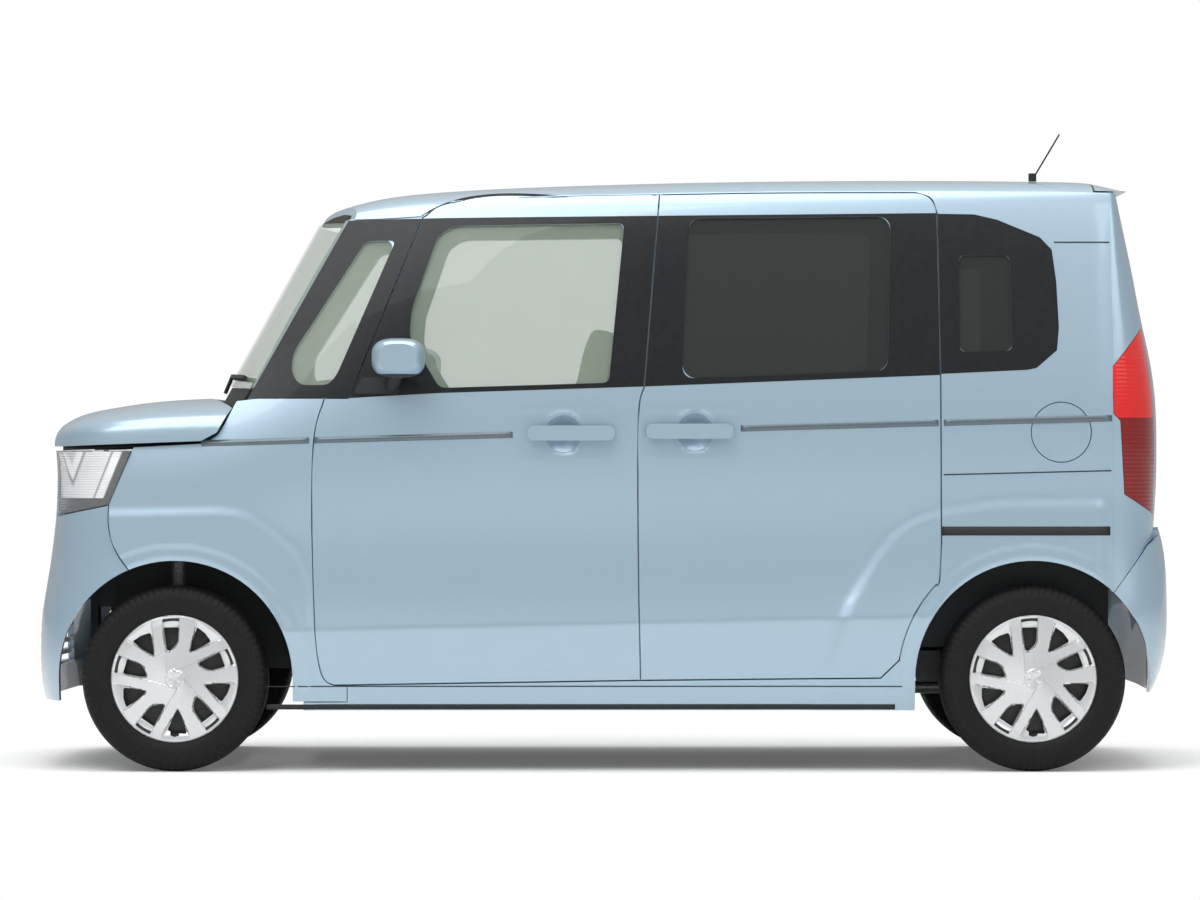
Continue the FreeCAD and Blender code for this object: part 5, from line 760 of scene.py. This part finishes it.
def smooth_copy(node, trimmed=False):
    """A copy of a CAD node with its corners merged, smooth but for edges over an angle.
    Faces that look inwards take the cabin's trim."""
    source = frame["nodes"][node]
    obj = bpy.data.objects.new(node + "_skin", source.data.copy())
    bpy.context.scene.collection.objects.link(obj)
    bm = bmesh.new()
    bm.from_mesh(obj.data)
    bmesh.ops.remove_doubles(bm, verts=bm.verts, dist=DOUBLES)
    bmesh.ops.dissolve_degenerate(bm, edges=bm.edges, dist=1e-6)
    for edge in bm.edges:
        edge.smooth = len(edge.link_faces) == 2 and edge.calc_face_angle(0) < math.radians(CREASE_ANGLE)
    bm.to_mesh(obj.data)
    bm.free()
    count = len(obj.data.polygons)
    obj.data.polygons.foreach_set("use_smooth", np.ones(count, bool))
    obj.data.materials.clear()
    obj.data.materials.append(finish_of(node))
    normals, centres = np.zeros(count * 3), np.zeros(count * 3)
    obj.data.polygons.foreach_get("normal", normals)
    obj.data.polygons.foreach_get("center", centres)
    normals, centres = normals.reshape(-1, 3), centres.reshape(-1, 3)
    if trimmed:
        inward = np.sign(centres[:, 1]) * normals[:, 1] < INWARD
        if node == "roof_panel":
            inward = normals[:, 2] < INWARD
        if node == "tailgate":
            inward = (normals[:, 0] < -0.5) & (centres[:, 0] < GATE_INSIDE)
        obj.data.materials.append(FINISHES["underbody" if node in ("bonnet", "front_fenders") else "cabin"])
        obj.data.materials.append(FINISHES["plastic"])
        arch = np.hypot(centres[:, 0] - REAR_AXLE, centres[:, 2] - TYRE_RADIUS) < ARCH_RADIUS + ARCH_TRIM
        arch |= (centres[:, 0] < FENDER_INSIDE[0]) & (centres[:, 2] < FENDER_INSIDE[1])
        if node != "bonnet":
            obj.data.polygons.foreach_set("material_index", (inward * (1 + arch)).astype(np.int32))
    if node == "side_windows":
        obj.data.materials.append(FINISHES["front_glass"])
        obj.data.polygons.foreach_set("material_index", (centres[:, 0] < QUARTER_END).astype(np.int32))
    if "handle" in node:
        soft = obj.modifiers.new("soft edge", "BEVEL")
        soft.width, soft.segments, soft.limit_method = HANDLE_EDGE, 3, "ANGLE"
    if node.startswith("mirror"):
        obj.data.materials.append(FINISHES["plastic"])
        low = (centres[:, 2] < MIRROR_FOOT) | (np.abs(centres[:, 1]) < MIRROR_ARM)
        obj.data.polygons.foreach_set("material_index", low.astype(np.int32))
    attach(obj, body_of(source)[0])
    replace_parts(obj, node)
    return obj


class KEI_OT_nodes(bpy.types.Operator):
    """Gives every CAD node its finish and smooths the shells"""
    bl_idname = "kei.nodes"
    bl_label = "Finish the CAD nodes"

    def execute(self, context):
        make_finishes(context.scene.kei_colours)
        for node, obj in frame["nodes"].items():
            obj.data.materials.clear()
            obj.data.materials.append(finish_of(node))
        for node, trimmed in PANELS.items():
            smooth_copy(node, trimmed)
        return {"FINISHED"}


class KEI_OT_side(bpy.types.Operator):
    """Painted cladding of both sides, with its window band, a strip of painted shade under the belt step, and
    slide slot
    """
    bl_idname = "kei.side"
    bl_label = "Clad the sides"

    def execute(self, context):
        sizes = context.scene.kei_sizes
        door, slider, fender, shell = door_loop(), slider_loop(), fender_loop(), side_loop()
        door_glass, slider_glass = [rounded_loop(spots(pane), radius) for pane, radius in
                                    ((DOOR_GLASS, PANE_CORNER), (SLIDER_GLASS, SLIDER_CORNER_RADIUS))]
        quarter, rear_pane = [rounded_loop(spots(pane), PANE_CORNER) for pane in (QUARTER_PANE, REAR_PANE)]
        front_arch, rear_arch = arch_loop(FRONT_AXLE), arch_loop(REAR_AXLE)
        lid_share, lid_station = FUEL_LID
        lid = np.array([(along(lid_station), lid_share * ROOF_HEIGHT)])
        turn = np.linspace(0, 2 * math.pi, 64, endpoint=False)
        ring = np.stack([np.cos(turn), np.sin(turn)], 1)
        screen = np.array([(along(station) + SCREEN_BOW, share * ROOF_HEIGHT - SCREEN_DROP)
                           for station, share in (SCREEN_FOOT, SCREEN_TOP)])
        way = (screen[1] - screen[0]) * SCREEN_PAST
        screen = np.array([screen[0] - way, screen[1] + way])
        ahead = np.concatenate([screen, [(AHEAD, screen[1][1]), (AHEAD, screen[0][1])]])
        paint, black, belt, dull = [FINISHES[name] for name in ("paint", "black", "belt", "plastic")]
        door_in, slider_in = grown_loop(door, -PAINT_GAP), grown_loop(slider, -PAINT_GAP)
        fender_in, fender_out = grown_loop(fender, -FENDER_GAP), grown_loop(fender, FENDER_GAP)
        door_out, slider_out = grown_loop(door, PAINT_GAP), grown_loop(slider, PAINT_GAP)
        band, pillar = np.array(BAND_TOP + BAND_FOOT[::-1]), np.array(PILLAR_BAND)
        for word, side in SIDES.items():
            door_body = "door_" + word
            lid_hole = [lid + ring * (FUEL_LID_RADIUS + LID_GAP)] if side < 0 else []
            openings = [door_out, slider_out, fender_out, rear_arch, front_arch, rear_pane, quarter, ahead]
            for part, body, keep, cuts in (
                    ("fender", "body", fender_in, [front_arch]), ("door", door_body, door_in, [door_glass]),
                    ("slider", "body", slider_in, [slider_glass, rear_arch]),
                    ("side", "body", shell, openings + lid_hole)):
                cladding(f"{part}_paint_{word}", body, side, [keep], cuts, paint)
            for part, body, keep, cuts in (
                    ("door", door_body, [door_in, band], [door_glass]),
                    ("slider", "body", [slider_in, band], [slider_glass]),
                    ("pillar", "body", [shell, pillar], [door_out, quarter, ahead]),
                    ("rear", "body", [shell, np.array(REAR_BAND)], [slider_out, rear_pane])):
                cladding(f"{part}_band_{word}", body, side, keep, cuts, black, TRIM, TRIM)
            # Strips of painted shade along the belt step, one for each panel, where the step's overhang casts
            # shade
            for part, (first, last) in BELT_RUNS.items():
                ends = np.interp([first, last], *np.array(BELT_LINE).T)
                ribbon(f"belt_{part}_{word}", door_body if part == "door" else "body", side,
                       [(first, ends[0]), (last, ends[1])], sizes.belt, belt)
            ribbon(f"slide_slot_{word}", "body", side, SLIDE_SLOT, sizes.slide_slot, dull, TRIM)
            ribbon(f"bonnet_seal_{word}", "body", side, BONNET_SEAL, SEAL_WIDTH, dull, seal_lift)
            for part, (path, width) in STRIPS.items():
                ribbon(f"{part}_{word}", "body", side, path, width, dull, TRIM)
            low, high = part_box("door_handle_" + word)
            face = (low.y if side < 0 else high.y) - side * KEYHOLE_DEPTH
            reach, rise = np.array(KEYHOLE_STEPS).T[:, :, None]
            u, v = reach * np.cos(turn), reach * np.sin(turn)
            x, z = KEYHOLE
            points = np.stack([x + u, face + side * (rise + 0 * u), z + v], 2)
            faces = grid_faces(len(KEYHOLE_STEPS), len(turn), closed_columns=True)
            outwards(piece("keyhole_" + word, points, faces, door_body, dull))
        return {"FINISHED"}


# The wheels: covers with five pairs of slanted blades, and ribbed tyres

COVER_UNIT = COVER_RADIUS / 660
COVER_WINDOWS = [  # one pair of openings as (right, up) from the hub in shares of 1/660 of the radius
    [(-131, 625), (52, 640), (42, 375), (22, 330), (-50, 272), (-78, 268), (-92, 320)],
    [(222, 588), (478, 405), (372, 352), (150, 262), (148, 300), (160, 330)],
]
COVER_HOLES = [
    [(-110, 515), (38, 520), (32, 385), (14, 342), (-50, 284), (-72, 284), (-84, 330), (-94, 400)],
    [(228, 520), (305, 462), (362, 385), (352, 366), (180, 276), (160, 274), (164, 310), (180, 400)],
]
COVER_TURN = math.radians(72)
COVER_DEPTH, COVER_FACET, HUB_CAP_RADIUS, FOLD_RADIUS = 0.0125, 0.0045, 0.0275, 0.022
FOLD_ANGLE, FOLD_WIDTH, FOLD_START, FOLD_END = math.radians(23), 0.02, 0.035, (0.186, 0.03)
DOME, EDGE_ROLL, EDGE_START, EDGE_WIDTH = 0.006, 0.007, 0.184, 0.008
CAP_RISE, CAP_DISH, CAP_RIM, CAP_STEP = 0.004, 0.0012, 0.002, 0.0015
WALL_WIDTH, RIM_SLOPE, RIM_STEP, RIM_SHARE = 0.0022, 0.030, 0.002, 0.9
VALVE = [(-0.013, -0.150), (0.013, -0.150), (0.013, -0.166), (0.0, -0.171), (-0.013, -0.166)]
COVER_WALL, COVER_PITCH, COVER_CORNER, COVER_GAP, COVER_SEAT = 0.0022, 0.0034, 0.004, 0.0005, 0.0046
COVER_CREASE = 40.0


def turned(points, angle):
    c, s = math.cos(angle), math.sin(angle)
    return np.asarray(points, float) @ np.array([[c, s], [-s, c]])


def cover_height(u, v):
    """How far a cover's face stands out at a place: a shallow dome with a rolled edge, five
    facets that each fall from one fold line to the next, and walls down to each opening."""
    r = np.hypot(u, v)
    angle = np.arctan2(v, u) - np.arcsin(np.clip(FOLD_RADIUS / np.maximum(r, 1e-6), -1, 1)) - FOLD_ANGLE
    part = np.mod(angle, COVER_TURN) / COVER_TURN
    facet = (COVER_FACET * (1 - part) * ease((1 - part) / FOLD_WIDTH) * ease(r / FOLD_START)
             * ease((FOLD_END[0] - r) / FOLD_END[1]))
    height = -DOME * (r / COVER_RADIUS) ** 2 + facet
    height = height - EDGE_ROLL * ease((r - EDGE_START) / EDGE_WIDTH)
    cap = (ease((HUB_CAP_RADIUS - r) / CAP_STEP) * CAP_RISE
           - ease((HUB_CAP_RADIUS - CAP_RIM - r) / CAP_STEP) * CAP_DISH)
    deep = np.zeros(len(u))
    for k in range(5):
        for window in COVER_WINDOWS:
            loop = turned(np.array(window) * COVER_UNIT, -k * COVER_TURN)
            inside = within(loop, u, v)
            rim, _ = distance_to(loop[:2], u, v)
            sides, _ = distance_to(np.concatenate([loop[1:], loop[:1]]), u, v)
            slope = ease(rim / RIM_SLOPE) * RIM_SHARE + (1 - RIM_SHARE) * ease(rim / RIM_STEP)
            wall = np.minimum(ease(sides / WALL_WIDTH), slope)
            deep = np.maximum(deep, np.where(inside, wall, 0))
    return height + cap - COVER_DEPTH * deep


def wheel_cover(name, body, axle, side, face_y, material):
    """A cover: the flat disc without its openings, raised by the height formula."""
    holes = [turned(np.array(hole) * COVER_UNIT, -k * COVER_TURN) for k in range(5) for hole in COVER_HOLES]
    turn = np.linspace(0, 2 * math.pi, 128, endpoint=False)
    ring = np.stack([np.cos(turn), np.sin(turn)], 1)
    cuts = [rounded_loop(hole, COVER_CORNER, 4) for hole in holes] + [np.array(VALVE)]
    places, faces = patch([ring * (COVER_RADIUS - COVER_GAP)], cuts, COVER_PITCH)
    u, v = places[:, 0], places[:, 1]
    points = np.stack([axle + u, side * (face_y + cover_height(u, v)), TYRE_RADIUS + v], 1)
    if side > 0:
        points[:, 0] = axle - u
    obj = piece(name, points, faces, body, material)
    wall = obj.modifiers.new("wall", "SOLIDIFY")
    wall.thickness, wall.offset = COVER_WALL, -1
    split = obj.modifiers.new("edges", "EDGE_SPLIT")
    split.split_angle = math.radians(COVER_CREASE)
    return obj


TYRE_PROFILE = [(0.180, 0.052), (0.186, 0.060), (0.196, 0.0700), (0.206, 0.0745), (0.220, 0.0772),
                (0.236, 0.0765), (0.248, 0.0735), (0.258, 0.0690), (0.2655, 0.0620), (0.2700, 0.0520),
                (0.2722, 0.0380), (0.2728, 0.0360), (0.2675, 0.0350), (0.2675, 0.0310), (0.2729, 0.0300),
                (0.2730, 0.0050), (0.2675, 0.0040)]  # half section as (radius, outward)
TREAD_STEPS, RIB_STEPS, RIB_GROOVE, RIB_DEPTH = 480, 6, 2, 0.0016
SHOULDER_START, SHOULDER_INNER, SHOULDER_FADE = 0.246, 0.040, 0.006
WALL_RINGS, RING_WIDTH, RING_RISE, WALL_START, TYRE_CREASE = (0.226, 0.240), 0.0012, 0.0007, 0.06, 35.0


def tyre(name, body, axle, side, material):
    """A tyre: its half section and the mirrored half carried round the axle, with the
    shoulder cut into ribs by a square wave of the angle and two rings on the wall."""
    half = np.array(TYRE_PROFILE)
    fine = []
    for first, last in zip(half[:-1], half[1:]):
        fine.append(first + (last - first) * np.linspace(0, 1, 5)[:-1, None])
    half = np.concatenate(fine + [half[-1:]])
    profile = np.concatenate([half, (half * [1, -1])[::-1]])
    count = TREAD_STEPS
    turn = np.arange(count) * 2 * math.pi / count
    r, y = profile[:, 0][:, None], profile[:, 1][:, None]
    shoulder = ease((r - SHOULDER_START) / SHOULDER_FADE) * ease((np.abs(y) - SHOULDER_INNER) / SHOULDER_FADE)
    ribs = (np.mod(np.arange(count), RIB_STEPS) < RIB_GROOVE)[None, :] * shoulder
    rings = sum(np.exp(-((r - radius) / RING_WIDTH) ** 2) for radius in WALL_RINGS)
    r = r - RIB_DEPTH * ribs
    y = y - np.sign(y) * (RIB_DEPTH * ribs - RING_RISE * rings * (np.abs(y) > WALL_START))
    points = np.stack([axle + r * np.cos(turn), side * WHEEL_Y + y + 0 * turn,
                       TYRE_RADIUS + r * np.sin(turn)], 2)
    obj = piece(name, points, grid_faces(len(profile), count, True, True), body, material)
    outwards(obj)
    split = obj.modifiers.new("edges", "EDGE_SPLIT")
    split.split_angle = math.radians(TYRE_CREASE)
    return obj


class KEI_OT_wheels(bpy.types.Operator):
    """Forked wheel covers and ribbed tyres"""
    bl_idname = "kei.wheels"
    bl_label = "Dress the wheels"

    def execute(self, context):
        for word, side in SIDES.items():
            for end, axle in (("front", FRONT_AXLE), ("rear", REAR_AXLE)):
                place = f"{end}_{word}"
                low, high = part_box("wheel_cover_" + place)
                face = max(abs(low.y), abs(high.y)) - COVER_SEAT
                wheel = "wheel_" + place
                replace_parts(wheel_cover("cover_" + place, wheel, axle, side, face, FINISHES["silver"]),
                            "wheel_cover_" + place)
                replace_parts(tyre("ribbed_tyre_" + place, wheel, axle, side, FINISHES["rubber"]),
                            "tyre_" + place)
        return {"FINISHED"}


# Lamps

class KEI_OT_lamps(bpy.types.Operator):
    """Clear headlamps with bright chambers; the two-tone tail lamps take their finish with the other nodes"""
    bl_idname = "kei.lamps"
    bl_label = "Dress the lamps"

    def execute(self, context):
        lens = smooth_copy("headlamps")
        inside = bpy.data.objects.new("lamp_chambers", lens.data.copy())
        context.scene.collection.objects.link(inside)
        inside.data.materials.clear()
        inside.data.materials.append(FINISHES["chambers"])
        inset = inside.modifiers.new("inset", "DISPLACE")
        inset.strength, inset.mid_level = -LAMP_INSET, 0.0
        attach(inside, "body")
        return {"FINISHED"}


# Seats

class KEI_OT_seats(bpy.types.Operator):
    """Padded seats, swollen by a cloth run from slightly smaller blocks"""
    bl_idname = "kei.seats"
    bl_label = "Pad the seats"

    def execute(self, context):
        for node in ("front_seats", "rear_seats"):
            pad = padded_copy(node)
            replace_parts(pad, node)
        return {"FINISHED"}


PAD_GRAIN, PAD_SHRINK, PAD_CAP, PAD_SOFTEN = 0.012, 0.008, 0.010, 6
PAD_PRESSURE, PAD_QUALITY, PAD_FRAMES = 4.0, 4, 20


def padded_copy(node):
    """The node's blocks drawn in along their normals, remeshed and blown up like a cushion; no
    point moves further than the cap."""
    source = frame["nodes"][node]
    obj = bpy.data.objects.new(node + "_padding", source.data.copy())
    bpy.context.scene.collection.objects.link(obj)
    outwards(obj)
    obj.data.materials.clear()
    obj.data.materials.append(FINISHES["cloth"])
    bpy.context.view_layer.objects.active = obj
    remesh = obj.modifiers.new("grain", "REMESH")
    remesh.mode, remesh.voxel_size = "VOXEL", PAD_GRAIN
    inset = obj.modifiers.new("inset", "DISPLACE")
    inset.strength, inset.mid_level = -PAD_SHRINK, 0.0
    soften = obj.modifiers.new("soften", "SMOOTH")
    soften.iterations = PAD_SOFTEN
    with context_of(obj):
        for name in ("grain", "inset", "soften"):
            bpy.ops.object.modifier_apply(modifier=name)
    before = corners_of(obj)
    cloth = obj.modifiers.new("cloth", "CLOTH")
    cloth.settings.use_pressure = True
    cloth.settings.uniform_pressure_force = PAD_PRESSURE
    cloth.settings.effector_weights.gravity = 0
    cloth.settings.quality = PAD_QUALITY
    cloth.point_cache.frame_start, cloth.point_cache.frame_end = 1, PAD_FRAMES
    scene = bpy.context.scene
    for frame_number in range(1, PAD_FRAMES + 1):
        scene.frame_set(frame_number)
        bpy.context.evaluated_depsgraph_get()
    with context_of(obj):
        bpy.ops.object.modifier_apply(modifier="cloth")
    scene.frame_set(1)
    after = corners_of(obj)
    move = after - before
    size = np.linalg.norm(move, axis=1)[:, None]
    after = before + move * np.minimum(1, PAD_CAP / np.maximum(size, 1e-9))
    low, high = [np.array(corner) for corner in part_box(node)]
    after = np.clip(after, low, high)
    obj.data.vertices.foreach_set("co", after.ravel())
    obj.data.update()
    obj.data.polygons.foreach_set("use_smooth", np.ones(len(obj.data.polygons), bool))
    smooth = obj.modifiers.new("smooth", "SUBSURF")
    smooth.levels = smooth.render_levels = 1
    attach(obj, "body")
    return obj


def corners_of(obj):
    values = np.zeros(len(obj.data.vertices) * 3)
    obj.data.vertices.foreach_get("co", values)
    return values.reshape(-1, 3)


def context_of(obj):
    return bpy.context.temp_override(object=obj, active_object=obj, selected_objects=[obj])


# The stage

FLOOR_REACH, FADE_REACH, FADE_FROM, FLOOR_GLOW = 60.0, (2.5, 1.75), 0.62, 0.10
WORLD_STRENGTH, WORLD_LOW, WORLD_RAMP = 0.62, (0.22, 0.25, 0.29), (0.30, 0.75)
LAMPS = {  # place, width in metres and watts of each soft lamp
    "key": ((-3.0, -6.0, 7.5), 6.0, 330), "fill": ((5.0, -6.0, 5.5), 5.0, 120),
    "top": ((0.0, 0.0, 7.0), 6.0, 300),
}
LAMP_AIM, CAMERA_PLACE, CAMERA_LENS, CAMERA_REACH = (0, 0, 0.9), (-0.006, -17.22, 0.9446), 168.7, 200


def pale_floor():
    """Pale floor that takes the car's shadow and fades to plain white away from it: the distance
    from the middle, stretched along the car, mixes in a white glow that only the camera sees."""
    material, nodes, links, shader = finish("pale floor", (0.93, 0.93, 0.92), 0.9)
    noise = noise_on(nodes, links, 4.0)
    tint(nodes, links, shader, noise.outputs["Fac"], (0.92, 0.92, 0.91), (0.94, 0.94, 0.93))
    place, squeeze, away, fade, seen, share, lift = made(
        nodes, "TexCoord", "Mapping", "VectorMath", "MapRange", "LightPath", "Math", "AddShader")
    glow, extra, dark, mix = made(nodes, "Emission", "Emission", "MixShader", "MixShader")
    squeeze.inputs["Scale"].default_value = (1 / FADE_REACH[0], 1 / FADE_REACH[1], 1)
    away.operation = "LENGTH"
    fade.interpolation_type = "SMOOTHSTEP"
    fade.inputs["From Min"].default_value, fade.inputs["From Max"].default_value = FADE_FROM, 1.0
    share.operation = "MULTIPLY"
    extra.inputs["Strength"].default_value = FLOOR_GLOW
    camera_ray = seen.outputs["Is Camera Ray"]
    wire(links, (place.outputs["Object"], squeeze.inputs["Vector"]),
         (squeeze.outputs["Vector"], away.inputs[0]), (away.outputs["Value"], fade.inputs["Value"]),
         (fade.outputs["Result"], share.inputs[0]), (camera_ray, share.inputs[1]),
         (shader.outputs[0], lift.inputs[0]), (extra.outputs[0], lift.inputs[1]),
         (camera_ray, dark.inputs[0]), (shader.outputs[0], dark.inputs[1]), (lift.outputs[0], dark.inputs[2]),
         (share.outputs[0], mix.inputs[0]), (dark.outputs[0], mix.inputs[1]),
         (glow.outputs[0], mix.inputs[2]),
         (mix.outputs[0], nodes["Material Output"].inputs["Surface"]))
    return material


def pale_world():
    """Soft light that is darker from below; the camera and the light through glass see plain white."""
    world = bpy.data.worlds.new("studio")
    world.use_nodes = True
    nodes, links = world.node_tree.nodes, world.node_tree.links
    light = nodes["Background"]
    light.inputs["Strength"].default_value = WORLD_STRENGTH
    place, split, ramp, scaled = made(nodes, "TexCoord", "SeparateXYZ", "ValToRGB", "MapRange")
    white, seen, both, mix = made(nodes, "Background", "LightPath", "Math", "MixShader")
    for stop, position, colour in zip(ramp.color_ramp.elements, WORLD_RAMP, (WORLD_LOW, (1, 1, 1))):
        stop.position, stop.color = position, (*colour, 1)
    scaled.inputs["From Min"].default_value = -1
    white.inputs["Color"].default_value = (1, 1, 1, 1)
    both.operation = "MAXIMUM"
    wire(links, (place.outputs["Generated"], split.inputs[0]), (split.outputs["Z"], scaled.inputs["Value"]),
         (scaled.outputs[0], ramp.inputs[0]), (ramp.outputs[0], light.inputs["Color"]),
         (seen.outputs["Is Camera Ray"], both.inputs[0]),
         (seen.outputs["Is Transmission Ray"], both.inputs[1]), (both.outputs[0], mix.inputs[0]),
         (light.outputs[0], mix.inputs[1]), (white.outputs[0], mix.inputs[2]),
         (mix.outputs[0], nodes["World Output"].inputs["Surface"]))
    return world


class KEI_OT_stage(bpy.types.Operator):
    """Pale floor, soft lamps and the camera of the side view"""
    bl_idname = "kei.stage"
    bl_label = "Build the studio"

    def execute(self, context):
        scene = context.scene
        floor = bpy.data.meshes.new("floor")
        corners = [(x * FLOOR_REACH, y * FLOOR_REACH, 0) for x, y in ((-1, -1), (1, -1), (1, 1), (-1, 1))]
        floor.from_pydata(corners, [], [(0, 1, 2, 3)])
        floor = bpy.data.objects.new("floor", floor)
        scene.collection.objects.link(floor)
        floor.data.materials.append(pale_floor())
        scene.world = pale_world()
        for name, (place, size, energy) in LAMPS.items():
            lamp = bpy.data.lights.new(name, "AREA")
            lamp.size, lamp.energy = size, energy
            lamp = bpy.data.objects.new(name, lamp)
            lamp.location = place
            lamp.rotation_euler = (Vector(LAMP_AIM) - Vector(place)).to_track_quat("-Z", "Y").to_euler()
            scene.collection.objects.link(lamp)
        camera = bpy.data.cameras.new("camera")
        camera.sensor_width, camera.lens, camera.clip_end = 36.0, CAMERA_LENS, CAMERA_REACH
        camera = bpy.data.objects.new("camera", camera)
        camera.location = CAMERA_PLACE
        camera.rotation_euler = (math.pi / 2, 0, 0)
        scene.collection.objects.link(camera)
        scene.camera = camera
        scene.view_settings.view_transform = "Standard"
        return {"FINISHED"}


class KEI_PT_panel(bpy.types.Panel):
    """Lists the car's operators and what can be changed"""
    bl_label = "Kei car"
    bl_idname = "KEI_PT_panel"
    bl_space_type = "VIEW_3D"
    bl_region_type = "UI"
    bl_category = "Kei car"

    def draw(self, context):
        for group in (context.scene.kei_sizes, context.scene.kei_colours):
            for name in group.__annotations__:
                self.layout.prop(group, name)
        for operator in OPERATORS:
            self.layout.operator(operator.bl_idname)


OPERATORS = [KEI_OT_nodes, KEI_OT_side, KEI_OT_wheels, KEI_OT_lamps, KEI_OT_seats, KEI_OT_stage]
GROUPS = [KeiCarSizes, KeiCarColours]


def register():
    for item in GROUPS + OPERATORS + [KEI_PT_panel]:
        bpy.utils.register_class(item)
    bpy.types.Scene.kei_sizes = bpy.props.PointerProperty(type=KeiCarSizes)
    bpy.types.Scene.kei_colours = bpy.props.PointerProperty(type=KeiCarColours)


def unregister():
    del bpy.types.Scene.kei_colours
    del bpy.types.Scene.kei_sizes
    for item in [KEI_PT_panel] + OPERATORS[::-1] + GROUPS[::-1]:
        bpy.utils.unregister_class(item)


def main():
    register()
    for operator in OPERATORS:
        group, name = operator.bl_idname.split(".")
        getattr(getattr(bpy.ops, group), name)()


if __name__ == "__main__":
    main()
